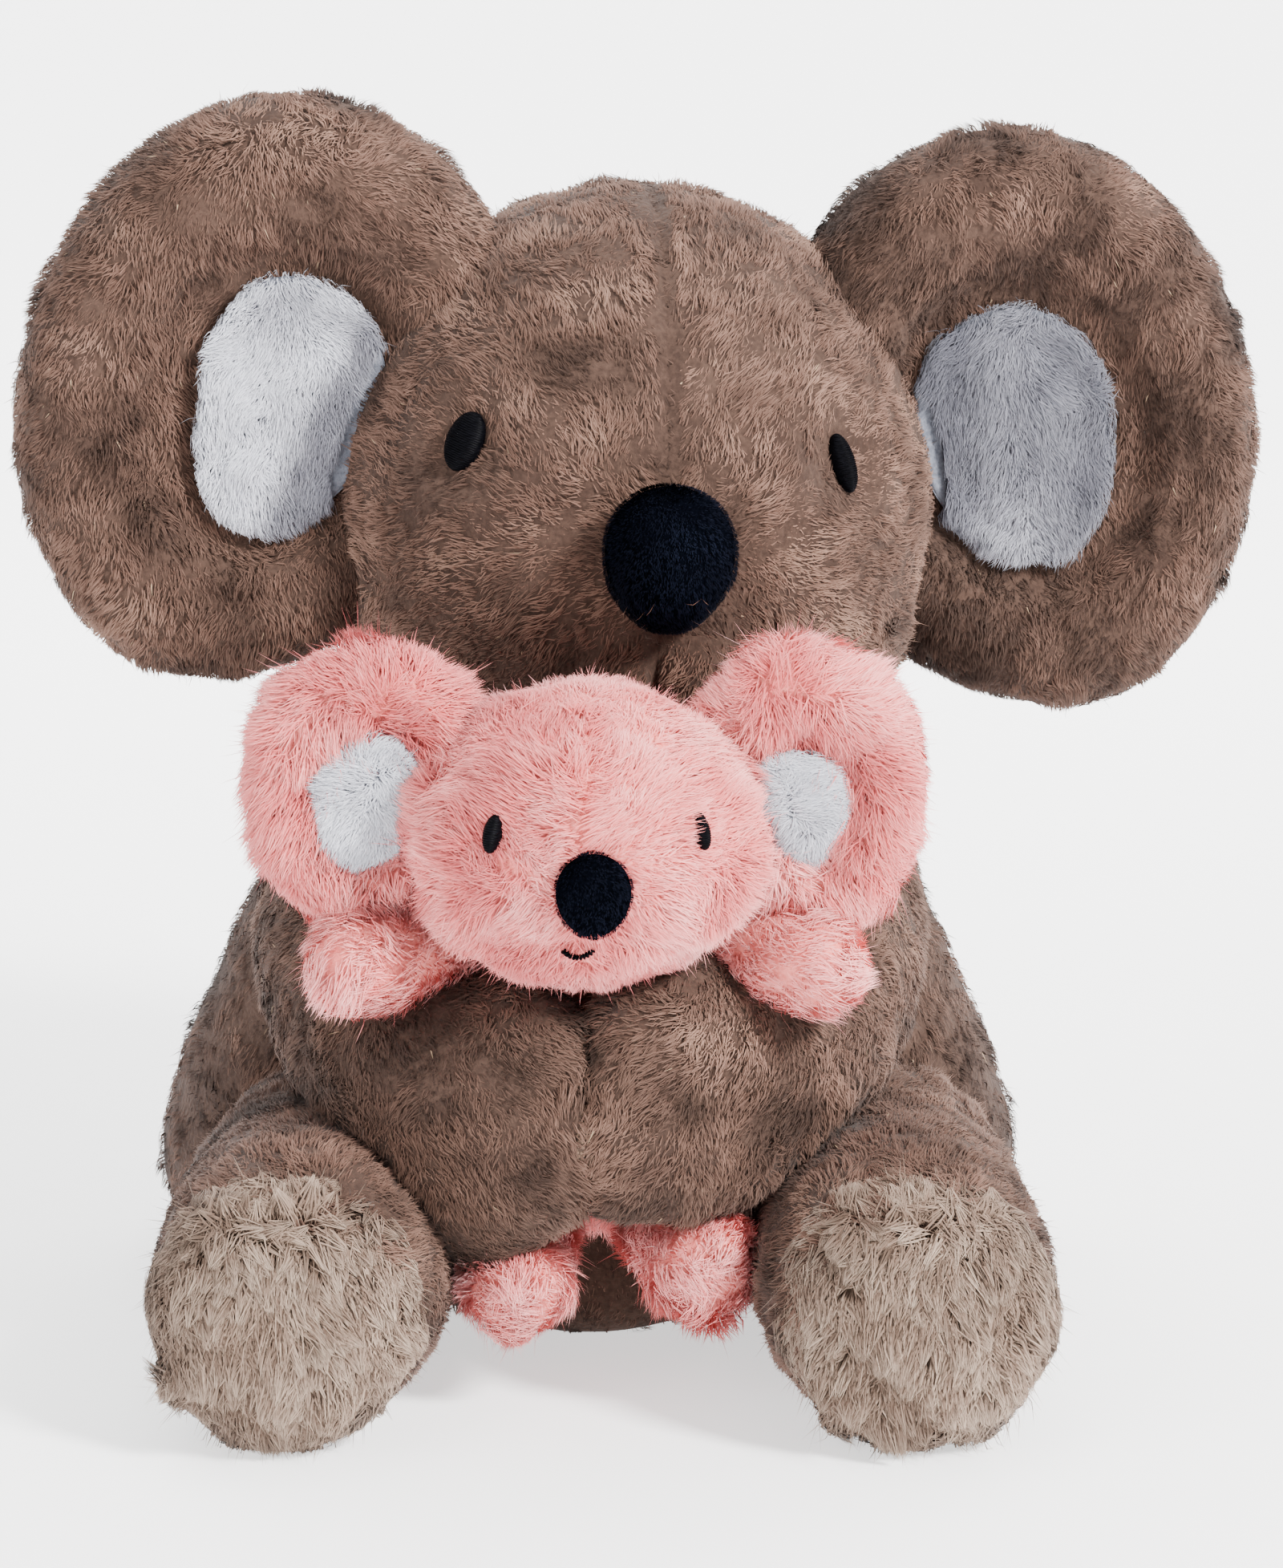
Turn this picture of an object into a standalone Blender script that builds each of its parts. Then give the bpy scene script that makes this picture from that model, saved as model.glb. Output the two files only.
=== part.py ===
"""A sitting plush koala that holds its baby. Metres, +Z up, and the front of the toy looks along -Y.

The origin is the middle of the flat seat, on the surface that the toy sits on. Every stuffed piece is a
unit ball that a shape function moves point by point: the same function gives the outer form, the cavity
inside the cover, the filling, and the slightly grown form that a smaller neighbour is cut with.
"""

import math

import bmesh
import bpy
from mathutils import Euler, Matrix, Vector

# Fits and walls
GAP = 0.0003
LEG_GAP = 0.0006
OVERRUN = 0.02
COVER_WALL = 0.004
BABY_WALL = 0.003
FLAT_DEPTH = 0.0005

# The mother's body, which sits on the floor
BODY_CENTRE_X = -0.001
BODY_HALF_WIDTH = 0.0955
BODY_HALF_DEPTH = 0.068
BODY_SEAT_HEIGHT = 0.026
BODY_TOP_HEIGHT = 0.131
BODY_LEAN = 0.016
BODY_SETBACK = 0.008
BODY_SEAT_BLUNTNESS = 3.6
ROUND = 2.0
BODY_SWELL_SHARES = ((-1, 1), (0, 1), (0.18, 0.963), (0.39, 0.926), (0.7, 0.93), (1, 0.94))
NECK_HEIGHT = 0.1178
BAG_HALF_WIDTH = 0.044
BAG_HALF_DEPTH = 0.034
BAG_HALF_HEIGHT = 0.011
BAG_BLUNTNESS = 2.6

# The mother's head, turned a little to one side and tilted
HEAD_HALF_WIDTH = 0.0655
HEAD_HALF_DEPTH = 0.062
HEAD_HALF_HEIGHT = 0.0685
HEAD_SHIFT = 0.0085
HEAD_SETBACK = -0.012
HEAD_YAW = math.radians(7.0)
HEAD_TILT = math.radians(3.2)
NECK_SHARE = 0.772
CHEEK_SHARES = ((-1, 1), (-0.5, 1.03), (0, 1), (1, 0.98))

# The mother's face, in shares of the head's half sizes
EYE_SHARES = (0.58, 0.26)
EYE_HALF_WIDTH = 0.0043
EYE_HALF_HEIGHT = 0.0063
EYE_RISE = 0.0014
EYE_LEAN = math.radians(14.0)
NOSE_HALF_WIDTH = 0.0136
NOSE_HALF_HEIGHT = 0.0152
NOSE_HALF_DEPTH = 0.0125
NOSE_SHARES = (0.0, -0.02)
NOSE_STAND = 0.0045

# The mother's ears: their outline about the middle of the lining, from straight outwards and up
EAR_RADIUS = 0.0655
EAR_OUTLINE_SHARES = (0.84, 0.85, 0.93, 1.0, 0.965, 0.86, 0.75, 0.72, 0.76, 0.87, 0.97, 0.9)
EAR_CREST = 0.019
EAR_BACK = 0.017
EAR_FRONT_SHARES = (
    (0, 0.4),
    (0.3, 0.44),
    (0.45, 0.6),
    (0.62, 0.93),
    (0.74, 1),
    (0.87, 0.84),
    (0.97, 0.42),
    (1, 0),
)
EAR_BACK_SHARES = ((0, 1), (0.5, 0.97), (0.75, 0.84), (0.9, 0.58), (0.97, 0.33), (1, 0))
EAR_PLACE_SHARES = (1.18, -0.07, 0.27)
EAR_OUTWARDS = 0.0013
LINING_SHARE = 0.43
LINING_GAP = 0.0009
LINING_THICKNESS = 0.003

# The mother's arms, from the shoulder round the baby to where the paws meet
SHOULDER_SHARES = (0.515, -0.46, 0.67)
ELBOW_SHARES = (0.62, -1.56, 0.475)
PAW_SHARES = (0.0, -1.79, 0.475)
SHOULDER_RADIUS = 0.0228
SHOULDER_CLEARANCE = 0.0058
SHOULDER_SEAM_SHARE = 0.7
ARM_HALF_WIDTH = 0.0215
ARM_HALF_HEIGHT = 0.0262
ARM_BLUNTNESS = 3.4
ARM_TAPER_SHARE = 0.35
PAW_OVERLAP = 0.010
PATCH_RADIUS = 0.011
PATCH_THICKNESS = 0.0015

# The mother's legs, stretched forward along the floor
LEG_RADIUS = 0.0308
LEG_HEIGHT = 0.0295
LEG_BLUNTNESS = 4.0
LEG_SWELL_SHARES = ((0, 0.85), (0.4, 0.93), (0.8, 1.0), (1, 1.0))
LEG_LEFT_SHIFT = 0.0577
LEG_RIGHT_SHIFT = 0.0637
HIP_SHARE = -0.25
HIP_INSET = 0.004
SOLE_REACH = 0.131
SOLE_BULGE = 0.007
SOLE_RIM = 0.0055

# The baby, which leans on the mother's belly inside her arms
BABY_HEAD_HALF_WIDTH = 0.0345
BABY_HEAD_HALF_DEPTH = 0.031
BABY_HEAD_HALF_HEIGHT = 0.0305
BABY_HEAD_HEIGHT = 0.1195
BABY_HEAD_FORWARD = 0.0335
BABY_HALF_WIDTH = 0.0225
BABY_HALF_DEPTH = 0.0128
BABY_SEAT_HEIGHT = 0.03
BABY_TOP_HEIGHT = 0.108
BABY_TOP_LEAN = 0.022
BABY_BLUNTNESS = 2.8
BABY_NECK_SLOPE = math.radians(27.0)
BABY_NECK_SHARE = 0.85
BABY_EAR_RADIUS = 0.0325
BABY_EAR_OUTLINE_SHARES = (0.75, 0.85, 0.96, 1.0, 0.88, 0.74, 0.62, 0.5, 0.5, 0.58, 0.76, 0.75)
BABY_EAR_CREST = 0.0075
BABY_EAR_BACK = 0.0065
BABY_EAR_PLACE_SHARES = (1.18, 0.12, 0.14)
BABY_LINING_SHARE = 0.45
BABY_LINING_THICKNESS = 0.0018
BABY_EYE_SHARES = (0.56, 0.15)
BABY_EYE_HALF_WIDTH = 0.0021
BABY_EYE_HALF_HEIGHT = 0.004
BABY_EYE_RISE = 0.001
BABY_NOSE_SHARES = (0.05, -0.15)
BABY_NOSE_HALF_WIDTH = 0.0076
BABY_NOSE_HALF_HEIGHT = 0.0086
BABY_NOSE_HALF_DEPTH = 0.006
BABY_NOSE_STAND = 0.0016
SMILE_WIDTH_SHARE = 0.17
SMILE_DROP_SHARE = 0.07
SMILE_HEIGHT_SHARE = -0.6
SMILE_RADIUS = 0.0006
BABY_ARM_RADIUS = 0.0112
BABY_ARM_HEIGHT = 0.097
BABY_PAW_HEIGHT = 0.094
BABY_ARM_START = 0.011
BABY_ARM_REACH = 0.051
BABY_ARM_FORWARD = 0.0458
BABY_LEG_RADIUS = 0.0118
BABY_LEG_LEFT_SHIFT = 0.0135
BABY_LEG_RIGHT_SHIFT = 0.0215
BABY_LEG_REACH = 0.04
BABY_LEG_RISE = 0.006
BABY_LIMB_BLUNTNESS = 3.0
BABY_LIMB_SWELL_SHARES = ((0, 0.9), (0.6, 0.92), (1, 1.05))

# How finely each form is divided round and along
FINE = (24, 14)
MIDDLE = (16, 10)
LONG = (16, 13)
COARSE = (12, 8)
SMALL = (10, 8)
TINY = (8, 6)

UP = Vector((0.0, 0.0, 1.0))
# The step, as a share of a head's half size, that finds which way its surface faces
STEP_SHARE = 0.01


def share_at(table, place):
    """The value at a place in a table of (place, value) pairs, eased so that the curve has no corners."""
    for (low, first), (high, last) in zip(table, table[1:]):
        if place <= high:
            part = (place - low) / (high - low)
            return first + (last - first) * part * part * (3 - 2 * part)
    return table[-1][1]


def outline_at(shares, angle):
    """The value at an angle of a closed outline given at equal steps, on a smooth curve through its points."""
    place = (angle / math.tau % 1) * len(shares)
    index = int(place)
    part = place - index
    before, here, after, beyond = (shares[(index + step) % len(shares)] for step in (-1, 0, 1, 2))
    rise = (after - before) / 2
    fall = (beyond - here) / 2
    return (
        here
        + rise * part
        + (3 * (after - here) - 2 * rise - fall) * part**2
        + (2 * (here - after) + rise + fall) * part**3
    )


def blunt(place, bluntness):
    """The radius of a form of half length 1 at a place along it, from round (2) to square-ended."""
    return max(0.0, 1 - abs(place) ** bluntness) ** (1 / bluntness)


def body_shape(x, y, z):
    """A pear with a wide, nearly flat seat. It leans forward to the neck."""
    flat = math.hypot(x, y) or 1.0
    low = z < 0
    ring = blunt(z, BODY_SEAT_BLUNTNESS if low else ROUND)
    ring *= share_at(BODY_SWELL_SHARES, z)
    height = (BODY_SEAT_HEIGHT + FLAT_DEPTH) if low else (BODY_TOP_HEIGHT - BODY_SEAT_HEIGHT)
    return Vector(
        (
            BODY_CENTRE_X + BODY_HALF_WIDTH * ring * x / flat,
            BODY_SETBACK - BODY_LEAN * max(z, 0.0) + BODY_HALF_DEPTH * ring * y / flat,
            BODY_SEAT_HEIGHT + height * z,
        )
    )


def head_shape(x, y, z):
    """A ball with slightly fuller cheeks, about the head's own centre."""
    swell = share_at(CHEEK_SHARES, z)
    return Vector((HEAD_HALF_WIDTH * swell * x, HEAD_HALF_DEPTH * swell * y, HEAD_HALF_HEIGHT * z))


def baby_head_shape(x, y, z):
    """A slightly wide ball, about the baby's own head centre."""
    return Vector((BABY_HEAD_HALF_WIDTH * x, BABY_HEAD_HALF_DEPTH * y, BABY_HEAD_HALF_HEIGHT * z))


def limb_shape(spine, half_width, half_height, bluntness, swell_shares):
    """A shape function for a stuffed tube along spine(share), from 0 at its root to 1 at its end."""

    def shape(x, y, z):
        share = (1 + z) / 2
        centre, along = spine(share)
        side = along.cross(UP).normalized()
        lift = side.cross(along).normalized()
        flat = math.hypot(x, y) or 1.0
        ring = blunt(z, bluntness) * share_at(swell_shares, share)
        return centre + side * (half_width * ring * x / flat) + lift * (half_height * ring * y / flat)

    return shape


def curved_spine(start, bend, end):
    """A quadratic curve from start to end, drawn towards bend."""

    def spine(share):
        rest = 1 - share
        centre = start * rest**2 + bend * (2 * rest * share) + end * share**2
        along = (bend - start) * rest + (end - bend) * share
        return centre, along.normalized()

    return spine


def straight_spine(start, end):
    """A straight line from start to end."""
    return curved_spine(start, (start + end) / 2, end)


def ear_shape(radius, outline_shares, crest, back, side):
    """A padded ear: its outline round a hollowed front and a crowned back, with the middle at the origin."""

    def shape(x, y, z):
        ring = math.hypot(x, z)
        angle = math.atan2(z, x)
        reach = radius * outline_at(outline_shares, angle) * ring
        front = y < 0
        table = EAR_FRONT_SHARES if front else EAR_BACK_SHARES
        depth = -crest if front else back
        return Vector((side * reach * math.cos(angle), depth * share_at(table, ring), reach * math.sin(angle)))

    return shape


def lining_shape(radius, outline_shares, crest, side, size_share, thickness):
    """A crowned panel that fills the hollow in the front of an ear."""

    def shape(x, y, z):
        ring = math.hypot(x, z)
        angle = math.atan2(z, x)
        reach = radius * outline_at(outline_shares, angle) * ring * size_share
        bed = -crest * share_at(EAR_FRONT_SHARES, ring * size_share)
        crown = thickness * math.sqrt(max(0.0, 1 - ring**4)) if y < 0 else 0.0
        return Vector((side * reach * math.cos(angle), bed - LINING_GAP - crown, reach * math.sin(angle)))

    return shape


def unit_ball(detail, facing_front):
    """A unit ball of triangles, with its poles along Z, or along Y for a form that faces the front."""
    ball = bmesh.new()
    bmesh.ops.create_uvsphere(ball, u_segments=detail[0], v_segments=detail[1], radius=1.0)
    if facing_front:
        bmesh.ops.rotate(ball, verts=ball.verts, cent=Vector(), matrix=Matrix.Rotation(math.pi / 2, 3, "X"))
    bmesh.ops.triangulate(ball, faces=ball.faces)
    return ball


def form_mesh(name, shape, detail, grow=0.0, facing_front=False):
    """The mesh of a shape function. Each point is also moved out along its normal by grow."""
    form = unit_ball(detail, facing_front)
    for vert in form.verts:
        vert.co = shape(*vert.co)
    form.normal_update()
    bmesh.ops.recalc_face_normals(form, faces=form.faces)
    form.normal_update()
    moved = [vert.co + vert.normal * grow for vert in form.verts]
    for vert, place in zip(form.verts, moved):
        vert.co = place
    mesh = bpy.data.meshes.new(name)
    form.to_mesh(mesh)
    form.free()
    return mesh


def box_mesh(name, low, high):
    """A box between two corners."""
    form = bmesh.new()
    bmesh.ops.create_cube(form, size=1.0)
    size = high - low
    middle = (high + low) / 2
    for vert in form.verts:
        vert.co = Vector(middle[i] + size[i] * vert.co[i] for i in range(3))
    mesh = bpy.data.meshes.new(name)
    form.to_mesh(mesh)
    form.free()
    return mesh


def disc_mesh(name, radius, one_x, other_x, middle):
    """A flat round disc across the X direction, from one X to the other."""
    form = bmesh.new()
    bmesh.ops.create_cone(
        form, cap_ends=True, segments=20, radius1=radius, radius2=radius, depth=abs(other_x - one_x)
    )
    turn = Matrix.Rotation(math.pi / 2, 4, "Y")
    place = Matrix.Translation(((one_x + other_x) / 2, middle.y, middle.z))
    bmesh.ops.transform(form, verts=form.verts, matrix=place @ turn)
    mesh = bpy.data.meshes.new(name)
    form.to_mesh(mesh)
    form.free()
    return mesh


def ball_mesh(name, middle, radius):
    """A ball round a point."""
    form = bmesh.new()
    place = Matrix.Translation(middle)
    bmesh.ops.create_uvsphere(form, u_segments=MIDDLE[0], v_segments=MIDDLE[1], radius=radius, matrix=place)
    mesh = bpy.data.meshes.new(name)
    form.to_mesh(mesh)
    form.free()
    return mesh


def clear_scene():
    for obj in list(bpy.data.objects):
        bpy.data.objects.remove(obj, do_unlink=True)


def new_collection(name):
    collection = bpy.data.collections.new(name)
    bpy.context.scene.collection.children.link(collection)
    return collection


def new_material(name, colour, roughness, metallic=0.0):
    material = bpy.data.materials.new(name)
    material.use_nodes = True
    shader = material.node_tree.nodes["Principled BSDF"]
    shader.inputs["Base Color"].default_value = (*colour, 1.0)
    shader.inputs["Roughness"].default_value = roughness
    shader.inputs["Metallic"].default_value = metallic
    return material


clear_scene()
PARTS = new_collection("plush_koala")
CUTTERS = new_collection("cutters")

BROWN = new_material("brown_plush", (0.283, 0.171, 0.114), 0.95)
PINK = new_material("pink_plush", (0.86, 0.38, 0.33), 0.95)
WHITE = new_material("white_plush", (0.75, 0.77, 0.82), 0.95)
BEIGE = new_material("beige_pile", (0.485, 0.402, 0.328), 0.95)
VELOUR = new_material("black_velour", (0.004, 0.005, 0.012), 0.8)
THREAD = new_material("black_thread", (0.01, 0.01, 0.01), 0.45)
FIBRE = new_material("polyester_filling", (0.8, 0.8, 0.78), 1.0)
COTTON = new_material("cotton_bag", (0.62, 0.6, 0.55), 0.9)
TAPE = new_material("fastener_tape", (0.16, 0.1, 0.07), 0.7)


def new_pivot(name, place, turn=None):
    """An empty on a joint's axis."""
    pivot = bpy.data.objects.new(name, None)
    pivot.location = place
    pivot.rotation_euler = turn or Euler()
    PARTS.objects.link(pivot)
    return pivot


def new_piece(name, mesh, material, parent=None, own_frame=False):
    """A part. Its mesh is given in the toy's frame, or in its parent's own frame."""
    mesh.materials.append(material)
    mesh.shade_smooth()
    mesh.set_sharp_from_angle(angle=math.radians(50))
    piece = bpy.data.objects.new(name, mesh)
    PARTS.objects.link(piece)
    if parent:
        piece.parent = parent
        if not own_frame:
            mesh.transform(Matrix.Translation(-parent.location))
    return piece


def new_cutter(name, mesh, parent=None, own_frame=True):
    """A tool for cutting. Its mesh is in its parent's own frame, or in the toy's frame."""
    cutter = bpy.data.objects.new(name, mesh)
    cutter.hide_render = True
    cutter.display_type = "WIRE"
    cutter.parent = parent
    if parent and not own_frame:
        mesh.transform(Matrix.Translation(-parent.location))
    CUTTERS.objects.link(cutter)
    return cutter


def cut(piece, *cutters):
    """Take each cutter's space out of a part."""
    for cutter in cutters:
        modifier = piece.modifiers.new("cut by " + cutter.name, "BOOLEAN")
        modifier.operation = "DIFFERENCE"
        modifier.solver = "EXACT"
        modifier.object = cutter


def stuffed(name, shape, material, wall, outer, inner, parent=None, own_frame=False, facing_front=False):
    """A cover, its hollow and its filling. The cover opens where another cutter meets the hollow."""
    cover_mesh = form_mesh(name, shape, outer, 0.0, facing_front)
    hollow_mesh = form_mesh(name, shape, inner, -wall, facing_front)
    filling_mesh = form_mesh(name, shape, inner, -wall - GAP, facing_front)
    cover = new_piece(name.replace("PIECE", "cover"), cover_mesh, material, parent, own_frame)
    hollow = new_cutter(name.replace("PIECE", "hollow"), hollow_mesh, parent, own_frame)
    filling = new_piece(name.replace("PIECE", "filling"), filling_mesh, FIBRE, parent, own_frame)
    cut(cover, hollow)
    return cover, hollow, filling


def across_box(name, one_x, other_x):
    """A cutter for everything between two X values."""
    low, high = sorted((one_x, other_x))
    return new_cutter(name, box_mesh(name, Vector((low, -REACH, -REACH)), Vector((high, REACH, REACH))))


# Every big cutting box reaches this far
REACH = 3 * (BODY_HALF_WIDTH + BODY_HALF_DEPTH)


def height_box(name, low, high):
    """A cutter for everything between two heights."""
    return new_cutter(name, box_mesh(name, Vector((-REACH, -REACH, low)), Vector((REACH, REACH, high))))


# The floor, and the level at which the head is sewn to the body
FLOOR = height_box("floor", -REACH, 0.0)
ABOVE_NECK = height_box("above_neck", NECK_HEIGHT, REACH)
BELOW_NECK = height_box("below_neck", -REACH, NECK_HEIGHT + GAP)
BODY_CUTTER = new_cutter("body_cutter", form_mesh("body_grown", body_shape, FINE, GAP))

HEAD_CENTRE = Vector((HEAD_SHIFT, HEAD_SETBACK, NECK_HEIGHT + HEAD_HALF_HEIGHT * NECK_SHARE))
HEAD_PIVOT = new_pivot("head_pivot", HEAD_CENTRE, Euler((0.0, HEAD_TILT, HEAD_YAW)))
HEAD_CUTTER = new_cutter("head_cutter", form_mesh("head_grown", head_shape, FINE, GAP), HEAD_PIVOT)


def make_body():
    cover, _, filling = stuffed("body_PIECE", body_shape, BROWN, COVER_WALL, FINE, COARSE)
    cut(cover, FLOOR, ABOVE_NECK)
    cut(filling, ABOVE_NECK)

    bottom = COVER_WALL + 3 * GAP
    middle = Vector((BODY_CENTRE_X, BODY_SETBACK, bottom + BAG_HALF_HEIGHT))

    def bag_shape(x, y, z):
        flat = math.hypot(x, y) or 1.0
        ring = blunt(z, BAG_BLUNTNESS)
        return middle + Vector(
            (BAG_HALF_WIDTH * ring * x / flat, BAG_HALF_DEPTH * ring * y / flat, BAG_HALF_HEIGHT * z)
        )

    new_piece("pellet_bag", form_mesh("pellet_bag", bag_shape, COARSE), COTTON)
    pocket = new_cutter("bag_pocket", form_mesh("bag_pocket", bag_shape, COARSE, GAP))
    throat = box_mesh(
        "bag_throat",
        middle - Vector((BAG_HALF_WIDTH / 2, BAG_HALF_DEPTH / 2, BAG_HALF_HEIGHT + OVERRUN)),
        middle + Vector((BAG_HALF_WIDTH / 2, BAG_HALF_DEPTH / 2, 0.0)),
    )
    cut(filling, pocket, new_cutter("bag_throat", throat))


def surface_spot(shape, shares):
    """The point on the front of a head at shares of its half sizes, and its outward direction."""
    x, z = shares
    y = -math.sqrt(1 - x * x - z * z)
    spot = shape(x, y, z)
    beside_x = x + STEP_SHARE
    above_z = z + STEP_SHARE
    beside = shape(beside_x, -math.sqrt(1 - beside_x**2 - z * z), z) - spot
    above = shape(x, -math.sqrt(1 - x * x - above_z**2), above_z) - spot
    return spot, beside.cross(above).normalized()


def pad_on(shape, shares, half_width, half_height, rise, stand, lean):
    """A shape function for a small domed pad on a head: flat oval, part sunk, rising proud of the surface."""
    spot, out = surface_spot(shape, shares)
    side = UP.cross(out).normalized()
    lift = out.cross(side)
    turn = Matrix.Rotation(lean, 3, out)
    side = turn @ side
    lift = turn @ lift
    middle = spot + out * stand

    def pad(x, y, z):
        return middle + side * (half_width * x) + lift * (half_height * z) - out * (rise * y)

    return pad


def make_head():
    cover, _, filling = stuffed("head_PIECE", head_shape, BROWN, COVER_WALL, FINE, COARSE, HEAD_PIVOT, True)
    cut(cover, BELOW_NECK)
    cut(filling, BELOW_NECK)
    for side, word in ((-1, "left"), (1, "right")):
        shares = (side * EYE_SHARES[0], EYE_SHARES[1])
        sizes = (EYE_HALF_WIDTH, EYE_HALF_HEIGHT, 2 * EYE_RISE)
        pad = pad_on(head_shape, shares, *sizes, -EYE_RISE, side * EYE_LEAN)
        eye = new_piece("eye_" + word, form_mesh("eye", pad, SMALL, 0.0, True), THREAD, HEAD_PIVOT, True)
        cut(eye, HEAD_CUTTER)
    pad = pad_on(head_shape, NOSE_SHARES, NOSE_HALF_WIDTH, NOSE_HALF_HEIGHT, NOSE_HALF_DEPTH, NOSE_STAND, 0.0)
    nose = new_piece("nose", form_mesh("nose", pad, MIDDLE, 0.0, True), VELOUR, HEAD_PIVOT, True)
    cut(nose, HEAD_CUTTER)


def make_ears():
    for side, word in ((-1, "left"), (1, "right")):
        root = new_pivot(
            "ear_root_" + word,
            Vector(
                (
                    side * EAR_PLACE_SHARES[0] * HEAD_HALF_WIDTH + EAR_OUTWARDS,
                    EAR_PLACE_SHARES[1] * HEAD_HALF_DEPTH,
                    EAR_PLACE_SHARES[2] * HEAD_HALF_HEIGHT,
                )
            ),
        )
        root.parent = HEAD_PIVOT
        shape = ear_shape(EAR_RADIUS, EAR_OUTLINE_SHARES, EAR_CREST, EAR_BACK, side)
        cover, _, filling = stuffed(
            "ear_PIECE_" + word, shape, BROWN, COVER_WALL, (22, 12), COARSE, root, True, True
        )
        cut(cover, HEAD_CUTTER)
        cut(filling, HEAD_CUTTER)
        panel = lining_shape(EAR_RADIUS, EAR_OUTLINE_SHARES, EAR_CREST, side, LINING_SHARE, LINING_THICKNESS)
        lining = new_piece(
            "ear_lining_" + word, form_mesh("ear_lining", panel, COARSE, 0.0, True), WHITE, root, True
        )
        cut(lining, HEAD_CUTTER)


def leg_shape(side):
    """The shape of one leg, and the X of its middle."""
    shift = LEG_LEFT_SHIFT if side < 0 else LEG_RIGHT_SHIFT
    start = Vector((side * (shift - HIP_INSET), HIP_SHARE * BODY_HALF_DEPTH, LEG_HEIGHT))
    end = Vector((side * shift, -SOLE_REACH - SOLE_BULGE, LEG_HEIGHT))
    return limb_shape(straight_spine(start, end), LEG_RADIUS, LEG_RADIUS, LEG_BLUNTNESS, LEG_SWELL_SHARES)


LEG_CUTTERS = [
    new_cutter("leg_cutter_" + word, form_mesh("leg_grown", leg_shape(side), MIDDLE, LEG_GAP))
    for side, word in ((-1, "left"), (1, "right"))
]


def make_legs():
    front = new_cutter(
        "sole_cutter",
        box_mesh("sole_cutter", Vector((-REACH, -REACH, -REACH)), Vector((REACH, -SOLE_REACH, REACH))),
    )
    radius = LEG_RADIUS - SOLE_RIM
    for side, word in ((-1, "left"), (1, "right")):
        cover, _, filling = stuffed("leg_PIECE_" + word, leg_shape(side), BROWN, COVER_WALL, MIDDLE, COARSE)
        cut(cover, front, FLOOR, BODY_CUTTER)
        cut(filling, front, BODY_CUTTER)
        shift = LEG_LEFT_SHIFT if side < 0 else LEG_RIGHT_SHIFT
        middle = Vector((side * shift, -SOLE_REACH - GAP, LEG_RADIUS))

        def sole_shape(x, y, z):
            ring = math.hypot(x, z)
            bulge = SOLE_BULGE * math.sqrt(max(0.0, 1 - ring**3)) if y < 0 else 0.0
            return middle + Vector((radius * x, -bulge, radius * z))

        new_piece("sole_pad_" + word, form_mesh("sole_pad", sole_shape, MIDDLE, 0.0, True), BEIGE)


def side_place(shares, side):
    """A place on one side of the body, in shares of its half width, half depth and height."""
    return Vector(
        (
            side * shares[0] * BODY_HALF_WIDTH,
            BODY_SETBACK + shares[1] * BODY_HALF_DEPTH,
            shares[2] * BODY_TOP_HEIGHT,
        )
    )


def arm_shape(side):
    """One arm: a ball at the shoulder, then a tube out, forward, and in to the blunt paw."""
    shoulder = side_place(SHOULDER_SHARES, side)
    bend = side_place(ELBOW_SHARES, side)
    start = shoulder - (bend - shoulder).normalized() * SHOULDER_RADIUS
    end = side_place(PAW_SHARES, side) - Vector((side * PAW_OVERLAP, 0.0, 0.0))
    spine = curved_spine(start, bend, end)
    ball_share = SHOULDER_RADIUS / (2 * (bend - start).length)

    def shape(x, y, z):
        share = (1 + z) / 2
        centre, along = spine(share)
        across = along.cross(UP).normalized()
        lift = across.cross(along).normalized()
        flat = math.hypot(x, y) or 1.0
        blend = min(1.0, max(0.0, (share - 2 * ball_share) / ARM_TAPER_SHARE))
        wide = SHOULDER_RADIUS + (ARM_HALF_WIDTH - SHOULDER_RADIUS) * blend
        high = SHOULDER_RADIUS + (ARM_HALF_HEIGHT - SHOULDER_RADIUS) * blend
        ring = blunt(z, ARM_BLUNTNESS) if z > 0 else 1.0
        if share < ball_share:
            ring = math.sqrt(max(0.0, 1 - (1 - share / ball_share) ** 2))
        return centre + across * (wide * ring * x / flat) + lift * (high * ring * y / flat)

    return shape


def arm_cutters(name, grow):
    """The two arms, grown, as cutters."""
    return [
        new_cutter(name + word, form_mesh(name, arm_shape(side), LONG, grow))
        for side, word in ((-1, "left"), (1, "right"))
    ]


LEFT_ARM_CUTTER, RIGHT_ARM_CUTTER = arm_cutters("arm_cutter_", GAP)
LEFT_ARM_DEEPER, RIGHT_ARM_DEEPER = arm_cutters("arm_deeper_", BABY_WALL + 2 * GAP)


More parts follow.
